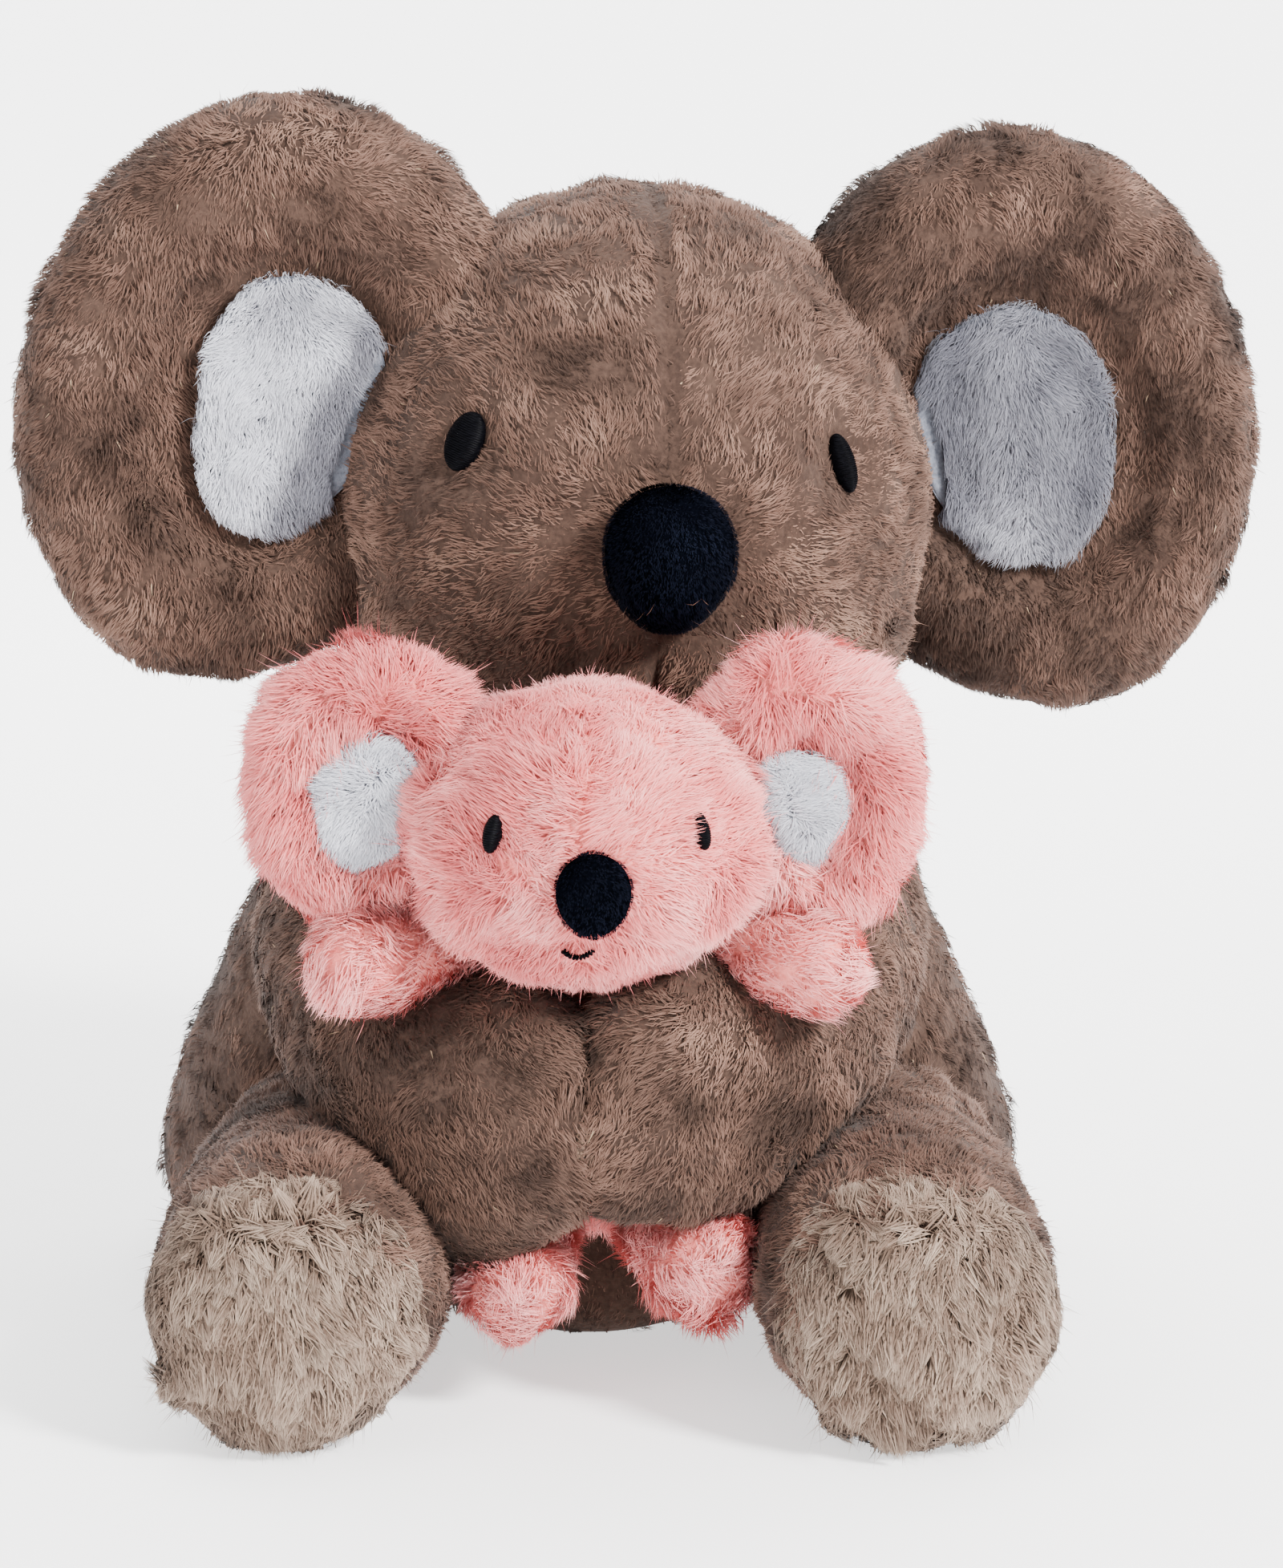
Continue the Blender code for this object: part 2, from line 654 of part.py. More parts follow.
def make_arms():
    paw = side_place(PAW_SHARES, 1)
    socket_radius = SHOULDER_RADIUS + SHOULDER_CLEARANCE
    for side, word, tape in ((-1, "left", "hook_patch"), (1, "right", "loop_patch")):
        place = side_place(SHOULDER_SHARES, side)
        shoulder = new_pivot("shoulder_" + word, place)
        cover, hollow, filling = stuffed(
            "arm_PIECE_" + word, arm_shape(side), BROWN, COVER_WALL, LONG, COARSE, shoulder
        )
        seam = place.y + SHOULDER_SEAM_SHARE * SHOULDER_RADIUS
        behind = new_cutter(
            "shoulder_seam_" + word,
            box_mesh("shoulder_seam", Vector((-REACH, seam, -REACH)), Vector((REACH, REACH, REACH))),
        )
        face = side * GAP / 2
        inside = face + side * COVER_WALL
        paw_end = across_box("paw_face_" + word, face, -side * REACH)
        hollow_end = across_box("paw_hollow_end_" + word, inside, -side * REACH)
        filling_end = across_box("paw_filling_end_" + word, inside + side * GAP, -side * REACH)
        back = face + side * PATCH_THICKNESS
        new_piece(tape, disc_mesh(tape, PATCH_RADIUS, face, back, paw), TAPE, shoulder)
        pocket_mesh = disc_mesh("pocket", PATCH_RADIUS + GAP, face - side * OVERRUN, back + side * GAP, paw)
        pocket = new_cutter("patch_pocket_" + word, pocket_mesh)
        cut(hollow, hollow_end)
        cut(cover, *LEG_CUTTERS, behind, paw_end, pocket)
        cut(filling, *LEG_CUTTERS, behind, filling_end)
        socket = new_cutter("socket_" + word, ball_mesh("socket", place, socket_radius))
        for piece in ("body_cover", "body_filling"):
            cut(bpy.data.objects[piece], socket, LEFT_ARM_CUTTER if side < 0 else RIGHT_ARM_CUTTER)


BABY_TORSO_Y = BODY_SETBACK - BODY_HALF_DEPTH - GAP - BABY_HALF_DEPTH
BABY_HEAD_CENTRE = Vector((0.0, BABY_TORSO_Y - BABY_HEAD_FORWARD, BABY_HEAD_HEIGHT))
BABY_PIVOT = new_pivot("baby_pivot", BABY_HEAD_CENTRE)
BABY_HEAD_CUTTER = new_cutter(
    "baby_head_cutter", form_mesh("baby_head_grown", baby_head_shape, MIDDLE, GAP), BABY_PIVOT
)


def baby_body_shape(x, y, z):
    """A flattened pear that leans forward at the top, where the head is sewn on."""
    flat = math.hypot(x, y) or 1.0
    ring = blunt(z, BABY_BLUNTNESS)
    half_height = (BABY_TOP_HEIGHT - BABY_SEAT_HEIGHT) / 2
    lean = BABY_TOP_LEAN * max(0.0, z) ** 2
    return Vector(
        (
            BABY_HALF_WIDTH * ring * x / flat,
            BABY_TORSO_Y - lean + BABY_HALF_DEPTH * ring * y / flat,
            BABY_SEAT_HEIGHT + half_height * (1 + z),
        )
    )


BABY_BODY_CUTTER = new_cutter("baby_body_cutter", form_mesh("baby_body_grown", baby_body_shape, MIDDLE, GAP))


def neck_side(name, gap, above):
    """A big box on one side of the slanted plane where the baby's head is sewn on."""
    low, high = (-gap, REACH) if above else (-REACH, gap)
    cutter = new_cutter(name, box_mesh(name, Vector((-REACH, -REACH, low)), Vector((REACH, REACH, high))))
    down = Vector((0.0, math.sin(BABY_NECK_SLOPE), -math.cos(BABY_NECK_SLOPE)))
    cutter.location = BABY_HEAD_CENTRE + down * (BABY_NECK_SHARE * BABY_HEAD_HALF_HEIGHT)
    cutter.rotation_euler = Euler((BABY_NECK_SLOPE, 0.0, 0.0))
    return cutter


def make_baby_body():
    above = neck_side("above_baby_neck", GAP / 2, True)
    below = neck_side("below_baby_neck", GAP / 2, False)
    cover, _, filling = stuffed(
        "baby_body_PIECE", baby_body_shape, PINK, BABY_WALL, MIDDLE, COARSE, BABY_PIVOT
    )
    cut(cover, above, BODY_CUTTER, LEFT_ARM_CUTTER, RIGHT_ARM_CUTTER)
    cut(filling, above, LEFT_ARM_DEEPER, RIGHT_ARM_DEEPER)
    cover, _, filling = stuffed(
        "baby_head_PIECE", baby_head_shape, PINK, BABY_WALL, MIDDLE, COARSE, BABY_PIVOT, True
    )
    cut(cover, below, HEAD_CUTTER, LEFT_ARM_CUTTER, RIGHT_ARM_CUTTER)
    cut(filling, below)


def make_baby_face():
    for side, word in ((-1, "left"), (1, "right")):
        shares = (side * BABY_EYE_SHARES[0], BABY_EYE_SHARES[1])
        sizes = (BABY_EYE_HALF_WIDTH, BABY_EYE_HALF_HEIGHT, 2 * BABY_EYE_RISE)
        pad = pad_on(baby_head_shape, shares, *sizes, -BABY_EYE_RISE, 0.0)
        eye = new_piece("baby_eye_" + word, form_mesh("eye", pad, TINY, 0.0, True), THREAD, BABY_PIVOT, True)
        cut(eye, BABY_HEAD_CUTTER)
    pad = pad_on(
        baby_head_shape,
        BABY_NOSE_SHARES,
        BABY_NOSE_HALF_WIDTH,
        BABY_NOSE_HALF_HEIGHT,
        BABY_NOSE_HALF_DEPTH,
        BABY_NOSE_STAND,
        0.0,
    )
    nose = new_piece("baby_nose", form_mesh("nose", pad, SMALL, 0.0, True), VELOUR, BABY_PIVOT, True)
    cut(nose, BABY_HEAD_CUTTER)


def make_smile():
    """A stitched line that follows the front of the baby's head."""
    curve = bpy.data.curves.new("smile", "CURVE")
    curve.dimensions = "3D"
    curve.bevel_depth = SMILE_RADIUS
    curve.bevel_resolution = 1
    curve.use_fill_caps = True
    steps = 8
    line = curve.splines.new("POLY")
    line.points.add(steps)
    for index, point in enumerate(line.points):
        across = 2 * index / steps - 1.0
        height = SMILE_HEIGHT_SHARE + SMILE_DROP_SHARE * (across**2 - 1)
        spot, out = surface_spot(baby_head_shape, (across * SMILE_WIDTH_SHARE, height))
        point.co = (*(spot + out * (SMILE_RADIUS + GAP)), 1.0)
    guide = bpy.data.objects.new("smile_guide", curve)
    CUTTERS.objects.link(guide)
    bpy.context.view_layer.update()
    mesh = bpy.data.meshes.new_from_object(guide.evaluated_get(bpy.context.evaluated_depsgraph_get()))
    bpy.data.objects.remove(guide, do_unlink=True)
    form = bmesh.new()
    form.from_mesh(mesh)
    bmesh.ops.remove_doubles(form, verts=form.verts, dist=GAP / 10)
    form.to_mesh(mesh)
    form.free()
    mesh.materials.clear()
    new_piece("baby_mouth", mesh, THREAD, BABY_PIVOT, True)


def make_baby_ears():
    for side, word in ((-1, "left"), (1, "right")):
        root = new_pivot(
            "baby_ear_root_" + word,
            Vector(
                (
                    side * BABY_EAR_PLACE_SHARES[0] * BABY_HEAD_HALF_WIDTH,
                    BABY_EAR_PLACE_SHARES[1] * BABY_HEAD_HALF_DEPTH,
                    BABY_EAR_PLACE_SHARES[2] * BABY_HEAD_HALF_HEIGHT,
                )
            ),
        )
        root.parent = BABY_PIVOT
        sizes = (BABY_EAR_RADIUS, BABY_EAR_OUTLINE_SHARES, BABY_EAR_CREST)
        shape = ear_shape(*sizes, BABY_EAR_BACK, side)
        ear = new_piece(
            "baby_ear_" + word, form_mesh("baby_ear", shape, MIDDLE, 0.0, True), PINK, root, True
        )
        new_cutter("baby_ear_cutter_" + word, form_mesh("baby_ear_grown", shape, MIDDLE, GAP, True), root)
        panel = lining_shape(*sizes, side, BABY_LINING_SHARE, BABY_LINING_THICKNESS)
        lining = new_piece(
            "baby_ear_lining_" + word, form_mesh("baby_lining", panel, TINY, 0.0, True), WHITE, root, True
        )
        cut(ear, BABY_HEAD_CUTTER)
        cut(lining, BABY_HEAD_CUTTER)


def baby_limb_shape(start, end, radius):
    """The shape of one of the baby's round, straight limbs."""
    return limb_shape(straight_spine(start, end), radius, radius, BABY_LIMB_BLUNTNESS, BABY_LIMB_SWELL_SHARES)


def make_baby_limbs():
    for side, word in ((-1, "left"), (1, "right")):
        start = Vector((side * BABY_ARM_START, BABY_TORSO_Y, BABY_ARM_HEIGHT))
        end = Vector((side * BABY_ARM_REACH, BABY_TORSO_Y - BABY_ARM_FORWARD, BABY_PAW_HEIGHT))
        shape = baby_limb_shape(start, end, BABY_ARM_RADIUS)
        arm = new_piece("baby_arm_" + word, form_mesh("baby_arm", shape, SMALL), PINK, BABY_PIVOT)
        ear_cutter = bpy.data.objects["baby_ear_cutter_" + word]
        cut(arm, BABY_BODY_CUTTER, BABY_HEAD_CUTTER, LEFT_ARM_CUTTER, RIGHT_ARM_CUTTER, ear_cutter)

        shift = BABY_LEG_LEFT_SHIFT if side < 0 else BABY_LEG_RIGHT_SHIFT
        start = Vector((side * BABY_LEG_LEFT_SHIFT, BABY_TORSO_Y, BABY_SEAT_HEIGHT + BABY_LEG_RISE))
        end = Vector((side * shift, BABY_TORSO_Y - BABY_LEG_REACH, BABY_SEAT_HEIGHT - BABY_LEG_RISE))
        shape = baby_limb_shape(start, end, BABY_LEG_RADIUS)
        leg = new_piece("baby_leg_" + word, form_mesh("baby_leg", shape, SMALL), PINK, BABY_PIVOT)
        cut(leg, BABY_BODY_CUTTER, BODY_CUTTER, *LEG_CUTTERS, LEFT_ARM_CUTTER, RIGHT_ARM_CUTTER)


make_body()
make_head()
make_ears()
make_legs()
make_arms()
make_baby_body()
make_baby_face()
make_smile()
make_baby_ears()
make_baby_limbs()
bpy.context.view_layer.update()
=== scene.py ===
"""A sitting plush koala that holds its baby: the visual model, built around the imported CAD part.

Every stuffed piece is a cloth skin a little inside the CAD cover, worked out with the same shape function of
a unit ball as the CAD solid, and a pile of separate flat hairs that are rooted on it.
"""

import math

import bpy
import numpy as np
from mathutils import Matrix


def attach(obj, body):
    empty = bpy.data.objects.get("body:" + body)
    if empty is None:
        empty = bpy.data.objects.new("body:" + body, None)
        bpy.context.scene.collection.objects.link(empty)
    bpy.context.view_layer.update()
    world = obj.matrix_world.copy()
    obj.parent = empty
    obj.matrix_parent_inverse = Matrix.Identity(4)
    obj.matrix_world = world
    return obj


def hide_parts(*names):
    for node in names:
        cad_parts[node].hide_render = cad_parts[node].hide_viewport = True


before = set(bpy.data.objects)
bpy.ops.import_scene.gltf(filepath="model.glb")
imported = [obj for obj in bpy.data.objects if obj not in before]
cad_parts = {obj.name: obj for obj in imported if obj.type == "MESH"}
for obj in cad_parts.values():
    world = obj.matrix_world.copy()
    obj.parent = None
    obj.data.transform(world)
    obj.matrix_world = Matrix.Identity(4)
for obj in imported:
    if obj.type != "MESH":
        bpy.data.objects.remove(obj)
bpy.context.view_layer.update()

# Sizes that the CAD solids have too, in metres
COVER_WALL = 0.004
FLAT_DEPTH = 0.0005
BODY_X = -0.001
BODY_WIDE = 0.0955
BODY_DEEP = 0.068
BODY_SEAT = 0.026
BODY_TOP = 0.131
BODY_LEAN = 0.016
BODY_SETBACK = 0.008
BODY_SWELL = ((-1, 1), (0, 1), (0.18, 0.963), (0.39, 0.926), (0.7, 0.93), (1, 0.94))
NECK_HEIGHT = 0.1178
HEAD_SIZES = np.array((0.0655, 0.062, 0.0685))
HEAD_CENTRE = np.array((0.0085, -0.012, NECK_HEIGHT + 0.0685 * 0.772))
HEAD_YAW = math.radians(7.0)
HEAD_TILT = math.radians(3.2)
HEAD_SWING = math.radians(15.0)
CHEEKS = ((-1, 1), (-0.5, 1.03), (0, 1), (1, 0.98))
EAR_RADIUS = 0.0655
EAR_OUTLINE = (0.84, 0.85, 0.93, 1.0, 0.965, 0.86, 0.75, 0.72, 0.76, 0.87, 0.97, 0.9)
EAR_CREST = 0.019
EAR_BACK = 0.017
EAR_FRONT = ((0, 0.4), (0.3, 0.44), (0.45, 0.6), (0.62, 0.93), (0.74, 1))
EAR_REAR = ((0, 1), (0.7, 0.9))
EAR_PLACE = np.array((1.18, -0.07, 0.27))
EAR_OUTWARDS = 0.0013
EAR_CUTS = {-1: (0.0015, 0.0), 1: (0.0008, 0.0016)}
LINING_SHARE = 0.43
LINING_GAP = 0.0009
LINING_THICK = 0.003
LINING_CUTS = {-1: 0.32, 1: 0.14}
SHOULDER_RADIUS = 0.0228
ARM_WIDE = 0.0215
ARM_HIGH = 0.0262
PAW_ROUNDING = 0.006
LEG_RADIUS = 0.0308
LEG_HEIGHT = 0.0295
LEG_SWELL = ((0, 0.85), (0.4, 0.93), (0.8, 1.0), (1, 1.0))
LEG_SHIFTS = {-1: 0.0577, 1: 0.0637}
SOLE_REACH = 0.131
SOLE_BULGE = 0.007
SOLE_RADIUS = 0.0255
SOLE_TUCK = 0.006
BABY_HEAD_SIZES = np.array((0.0345, 0.031, 0.0305))
BABY_WIDE = 0.0225
BABY_DEEP = 0.0128
BABY_SEAT = 0.03
BABY_TOP = 0.108
BABY_LEAN = 0.022
BABY_Y = BODY_SETBACK - BODY_DEEP - 0.0003 - BABY_DEEP
BABY_HEAD_CENTRE = np.array((0.0, BABY_Y - 0.0335, 0.1195))
BABY_EAR_RADIUS = 0.0325
BABY_EAR_OUTLINE = (0.75, 0.85, 0.96, 1.0, 0.88, 0.74, 0.62, 0.5, 0.5, 0.58, 0.76, 0.75)
BABY_EAR_CREST = 0.0075
BABY_EAR_BACK = 0.0065
BABY_EAR_PLACE = np.array((1.18, 0.12, 0.14))
BABY_LINING_SHARES = {-1: 0.44, 1: 0.36}
BABY_LINING_THICK = 0.0018
LIMB_SWELL = ((0, 0.9), (0.6, 0.92), (1, 1.05))
SIDES = ((-1, "left"), (1, "right"))
UP = np.array((0.0, 0.0, 1.0))


def unit(vectors):
    """Each vector divided by its length."""
    return vectors / np.maximum(np.linalg.norm(vectors, axis=-1, keepdims=True), 1e-9)


def dots(one, other):
    """The dot product of each pair of vectors, kept as a column."""
    return (one * other).sum(-1, keepdims=True)


def stack(x, y, z):
    """Points from their three coordinates."""
    return np.stack(np.broadcast_arrays(x, y, z), -1)


def eased(table, place):
    """The value at a place in (place, value) pairs, eased between two pairs as 3t^2 - 2t^3."""
    places, values = np.array(table, float).T
    low = np.clip(np.searchsorted(places, place) - 1, 0, len(places) - 2)
    part = np.clip((place - places[low]) / (places[low + 1] - places[low]), 0, 1)
    return values[low] + (values[low + 1] - values[low]) * part * part * (3 - 2 * part)


def outline_at(shares, angle):
    """The reach of a closed outline at an angle: a cubic through values at equal steps round it."""
    shares = np.array(shares)
    place = (angle / math.tau % 1) * len(shares)
    index = np.floor(place).astype(int)
    part = place - index
    before, here, after, beyond = (shares[(index + step) % len(shares)] for step in (-1, 0, 1, 2))
    rise = (after - before) / 2
    fall = (beyond - here) / 2
    cubic = (3 * (after - here) - 2 * rise - fall) * part**2 + (2 * (here - after) + rise + fall) * part**3
    return here + rise * part + cubic


def blunt(place, bluntness):
    """The radius of a form of half length 1: (1 - |place|^b)^(1/b)."""
    return np.maximum(0.0, 1 - np.abs(place) ** bluntness) ** (1 / bluntness)


def waves(points, scale, seed, count=12):
    """Smooth noise of about -1 to 1: a sum of sine waves in random directions, about scale metres long."""
    draw = np.random.default_rng(seed)
    ways = unit(draw.normal(size=(count, 3))) * math.tau / scale * draw.uniform(0.7, 1.5, (count, 1))
    return np.sin(points @ ways.T + draw.uniform(0, math.tau, count)).sum(-1) / math.sqrt(count)


def drift(points, scale, seed):
    """A smooth noise vector at each point."""
    return np.stack([waves(points, scale, seed + step) for step in range(3)], -1)


def turn_about(axis, angle):
    """The matrix that turns by an angle about x (0), y (1) or z (2)."""
    one, other = [(1, 2), (2, 0), (0, 1)][axis]
    turn = np.eye(3)
    turn[one, one] = turn[other, other] = math.cos(angle)
    turn[other, one] = math.sin(angle)
    turn[one, other] = -math.sin(angle)
    return turn


HEAD_TURN = turn_about(2, HEAD_YAW) @ turn_about(1, HEAD_TILT)


class Form:
    """A stuffed form. shape(x, y, z) moves a unit ball's points, then they turn and go to their place.

    holds(points, grow) says which points lie inside the form when it is grown by that much.
    """

    def __init__(self, shape, holds=None, place=(0, 0, 0), turn=np.eye(3), front=False, relief=None):
        self.shape = shape
        self.holds = holds
        self.place = np.array(place, float)
        self.turn = turn
        self.front = front
        self.relief = relief
        points = self.bare(*np.meshgrid(np.arange(16) / 16, (np.arange(9) + 0.5) / 9))
        across, along = self.slopes(*np.meshgrid(np.arange(16) / 16, (np.arange(9) + 0.5) / 9))
        out = points - points.mean((0, 1))
        self.sign = 1.0 if (np.cross(across, along) * out).sum() > 0 else -1.0

    def bare(self, u, v):
        """Round the ball by u and from pole to pole by v, both from 0 to 1, then through the shape."""
        angle = math.tau * u
        rise = math.pi * np.clip(v, 0, 1)
        x, y, z = np.sin(rise) * np.cos(angle), np.sin(rise) * np.sin(angle), -np.cos(rise)
        if self.front:
            y, z = -z, y
        return self.shape(x, y, z) @ self.turn.T + self.place

    def slopes(self, u, v):
        """How the surface moves with u and with v, by central differences."""
        step = 1e-4
        v = np.clip(v, 0.004, 0.996)
        across = (self.bare(u + step, v) - self.bare(u - step, v)) / (2 * step)
        along = (self.bare(u, v + step) - self.bare(u, v - step)) / (2 * step)
        return across, along

    def at(self, u, v, inset=0.0):
        """Points and outward normals, set in by inset and by the form's own relief."""
        points = self.bare(u, v)
        across, along = self.slopes(u, v)
        normals = unit(np.cross(across, along)) * self.sign
        depth = inset + (self.relief(points, normals) if self.relief else 0.0)
        return points - normals * np.reshape(depth, np.shape(depth) + (1,) if np.ndim(depth) else ()), normals


def new_mesh(name, points, faces, material, smooth=True):
    """A mesh piece with its place in its points."""
    mesh = bpy.data.meshes.new(name)
    mesh.vertices.add(len(points))
    mesh.vertices.foreach_set("co", np.ascontiguousarray(points, np.float32).ravel())
    sides = np.array([len(face) for face in faces]) if isinstance(faces, list) else np.full(len(faces), faces.shape[1])
    corners = np.concatenate([np.asarray(face) for face in faces]) if isinstance(faces, list) else faces.ravel()
    mesh.loops.add(len(corners))
    mesh.loops.foreach_set("vertex_index", corners.astype(np.int32))
    mesh.polygons.add(len(sides))
    mesh.polygons.foreach_set("loop_start", (np.cumsum(sides) - sides).astype(np.int32))
    mesh.update(calc_edges=True)
    mesh.polygons.foreach_set("use_smooth", np.full(len(sides), smooth))
    mesh.materials.append(material)
    piece = bpy.data.objects.new(name, mesh)
    bpy.context.scene.collection.objects.link(piece)
    return piece


def closed_faces(rings, around, sign):
    """Faces of a closed form: a pole, rings of points, a pole. Quads between rings, triangles at the poles."""
    ring = np.arange(rings)[:, None] * around + 1
    here = ring[:-1] + np.arange(around)
    beside = ring[:-1] + (np.arange(around) + 1) % around
    quads = np.stack([here, beside, beside + around, here + around], -1).reshape(-1, 4)
    last = 1 + rings * around
    edge = np.arange(around)
    after = (edge + 1) % around
    first_fan = np.stack([np.zeros(around, int), after + 1, edge + 1], -1)
    last_ring = 1 + (rings - 1) * around
    last_fan = np.stack([np.full(around, last), last_ring + edge, last_ring + after], -1)
    if sign < 0:
        quads, first_fan, last_fan = quads[:, ::-1], first_fan[:, ::-1], last_fan[:, ::-1]
    return list(quads) + list(first_fan) + list(last_fan)


def closed_piece(name, form, material, around, rings, inset=0.0, limit=None):
    """A closed surface of a form: rings of points between its two poles."""
    v = np.arange(1, rings + 1) / (rings + 1)
    u = np.arange(around) / around
    grid_u, grid_v = np.meshgrid(u, v)
    points = form.at(grid_u, grid_v, inset)[0].reshape(-1, 3)
    poles = [form.at(np.array([0.0]), np.array([end]), inset)[0] for end in (0.001, 0.999)]
    points = np.concatenate([poles[0], points, poles[1]])
    if limit:
        points = limit(points)
    return new_mesh(name, points, closed_faces(rings, around, form.sign), material)


def in_ball(centre, turn, sizes):
    """Whether points are inside an ellipsoid: the squared shares of its half sizes add up to less than 1."""

    def holds(points, grow=0.0):
        return ((((points - centre) @ turn) / (sizes + grow)) ** 2).sum(-1) < 1

    return holds


def body_ring(z):
    """The share of the body's half sizes at a place from its seat's bottom (-1) to its top (1)."""
    return np.where(z < 0, blunt(z, 3.6), blunt(z, 2.0)) * eased(BODY_SWELL, z)


def body_shape(x, y, z):
    """A pear with a wide, nearly flat seat, that leans forward to the neck."""
    flat = np.maximum(np.hypot(x, y), 1e-9)
    ring = body_ring(z)
    height = np.where(z < 0, BODY_SEAT + FLAT_DEPTH, BODY_TOP - BODY_SEAT)
    back = BODY_SETBACK - BODY_LEAN * np.maximum(z, 0)
    return stack(BODY_X + BODY_WIDE * ring * x / flat, back + BODY_DEEP * ring * y / flat, BODY_SEAT + height * z)


def in_body(points, grow=0.0):
    """Whether points are inside the body's own ring at their height."""
    x, y, z = points.T
    place = np.where(z < BODY_SEAT, (z - BODY_SEAT) / (BODY_SEAT + FLAT_DEPTH), (z - BODY_SEAT) / (BODY_TOP - BODY_SEAT))
    ring = body_ring(np.clip(place, -1, 1))
    back = BODY_SETBACK - BODY_LEAN * np.clip(place, 0, 1)
    wide, deep = np.maximum(BODY_WIDE * ring + grow, 1e-6), np.maximum(BODY_DEEP * ring + grow, 1e-6)
    return (((x - BODY_X) / wide) ** 2 + ((y - back) / deep) ** 2 < 1) & (np.abs(place) < 1)


def ball_shape(sizes, swell=((-1, 1), (1, 1))):
    """A ball of three half sizes, wider where its swell table says."""

    def shape(x, y, z):
        wide = eased(swell, z)
        return stack(sizes[0] * wide * x, sizes[1] * wide * y, sizes[2] * z)

    return shape


def curve_at(start, bend, end, share):
    """A quadratic curve's points and directions: start(1-s)^2 + 2 bend s(1-s) + end s^2."""
    share = np.asarray(share)[..., None]
    rest = 1 - share
    return start * rest**2 + bend * (2 * rest * share) + end * share**2, unit((bend - start) * rest + (end - bend) * share)


def tube(start, bend, end, sizes_at):
    """A tube along a quadratic curve, and the test for points in it. sizes_at(share) gives its two half sizes."""

    def shape(x, y, z):
        share = (1 + z) / 2
        centre, ahead = curve_at(start, bend, end, share)
        across = unit(np.cross(ahead, UP))
        lift = np.cross(across, ahead)
        flat = np.maximum(np.hypot(x, y), 1e-9)
        wide, high = sizes_at(share)
        return centre + across * (wide * x / flat)[..., None] + lift * (high * y / flat)[..., None]

    shares = (np.arange(40) + 0.5) / 40
    centres, aheads = curve_at(start, bend, end, shares)
    acrosses = unit(np.cross(aheads, UP))
    lifts = np.cross(acrosses, aheads)

    def holds(points, grow=0.0):
        near = ((points**2).sum(-1)[:, None] - 2 * points @ centres.T + (centres**2).sum(-1)).argmin(-1)
        away = points - centres[near]
        wide, high = sizes_at(shares[near])
        share = ((away * acrosses[near]).sum(-1) / np.maximum(wide + grow, 1e-6)) ** 2
        share += ((away * lifts[near]).sum(-1) / np.maximum(high + grow, 1e-6)) ** 2
        return (share < 1) & (np.abs((away * aheads[near]).sum(-1)) < 0.004 + grow)

    return shape, holds


def blunt_tube(start, end, radius, bluntness, swell):
    """A straight tube with rounded ends."""
    start, end = np.array(start, float), np.array(end, float)

    def sizes_at(share):
        ring = radius * blunt(2 * share - 1, bluntness) * eased(swell, share)
        return ring, ring

    return tube(start, (start + end) / 2, end, sizes_at)


def side_place(shares, side):
    """A place on one side of the body, in shares of its half width, half depth and height."""
    return np.array((side * shares[0] * BODY_WIDE, BODY_SETBACK + shares[1] * BODY_DEEP, shares[2] * BODY_TOP))


def arm_form(side):
    """One arm: a ball at the shoulder, then a tube out, forward, and in to the blunt paw."""
    shoulder = side_place((0.515, -0.46, 0.67), side)
    bend = side_place((0.62, -1.56, 0.475), side)
    start = shoulder - unit(bend - shoulder) * SHOULDER_RADIUS
    end = side_place((0.0, -1.79, 0.475), side) - np.array((side * PAW_ROUNDING, 0.0, 0.0))
    ball_share = SHOULDER_RADIUS / (2 * np.linalg.norm(bend - start))

    def sizes_at(share):
        part = np.clip((share - 2 * ball_share) / 0.35, 0, 1)
        ring = np.where(share > 0.5, blunt(2 * share - 1, 3.4), 1.0)
        near = np.sqrt(np.maximum(0.0, 1 - (1 - share / ball_share) ** 2))
        ring = np.where(share < ball_share, near, ring)
        wide = SHOULDER_RADIUS + (ARM_WIDE - SHOULDER_RADIUS) * part
        high = SHOULDER_RADIUS + (ARM_HIGH - SHOULDER_RADIUS) * part
        return wide * ring, high * ring

    straight, holds = tube(start, bend, end, sizes_at)

    def shape(x, y, z):
        """The tube, with the left paw's underside hanging, and both paws' tops rising before the baby's chin."""
        points = straight(x, y, z)
        over = (points[..., 2] - end[2]) / ARM_HIGH
        ahead = np.clip((end[1] - points[..., 1]) / ARM_WIDE, 0, 1)
        high = np.clip(over, 0, 1)
        if side < 0:
            rise = -0.0125 * np.clip(-over, 0, 1) * np.exp(-(((points[..., 0] + 0.024) / 0.017) ** 2))
            bell = np.exp(-(((points[..., 0] + 0.004) / 0.013) ** 2))
            rise = rise + 0.005 * high * bell
        else:
            bell = np.exp(-(((points[..., 0] - 0.013) / 0.019) ** 2))
            rise = (0.0075 + 0.008 * ahead) * high * bell
        points[..., 2] += rise
        points[..., 1] -= 0.0055 * high * bell
        return points

    return Form(shape, holds), (start, bend, end)


def leg_form(side):
    """One leg, stretched forward along the floor."""
    shift = LEG_SHIFTS[side]
    start = (side * (shift - 0.004), -0.25 * BODY_DEEP, LEG_HEIGHT)
    end = (side * shift, -SOLE_REACH - SOLE_BULGE, LEG_HEIGHT)
    return Form(*blunt_tube(start, end, LEG_RADIUS, 4.0, LEG_SWELL))


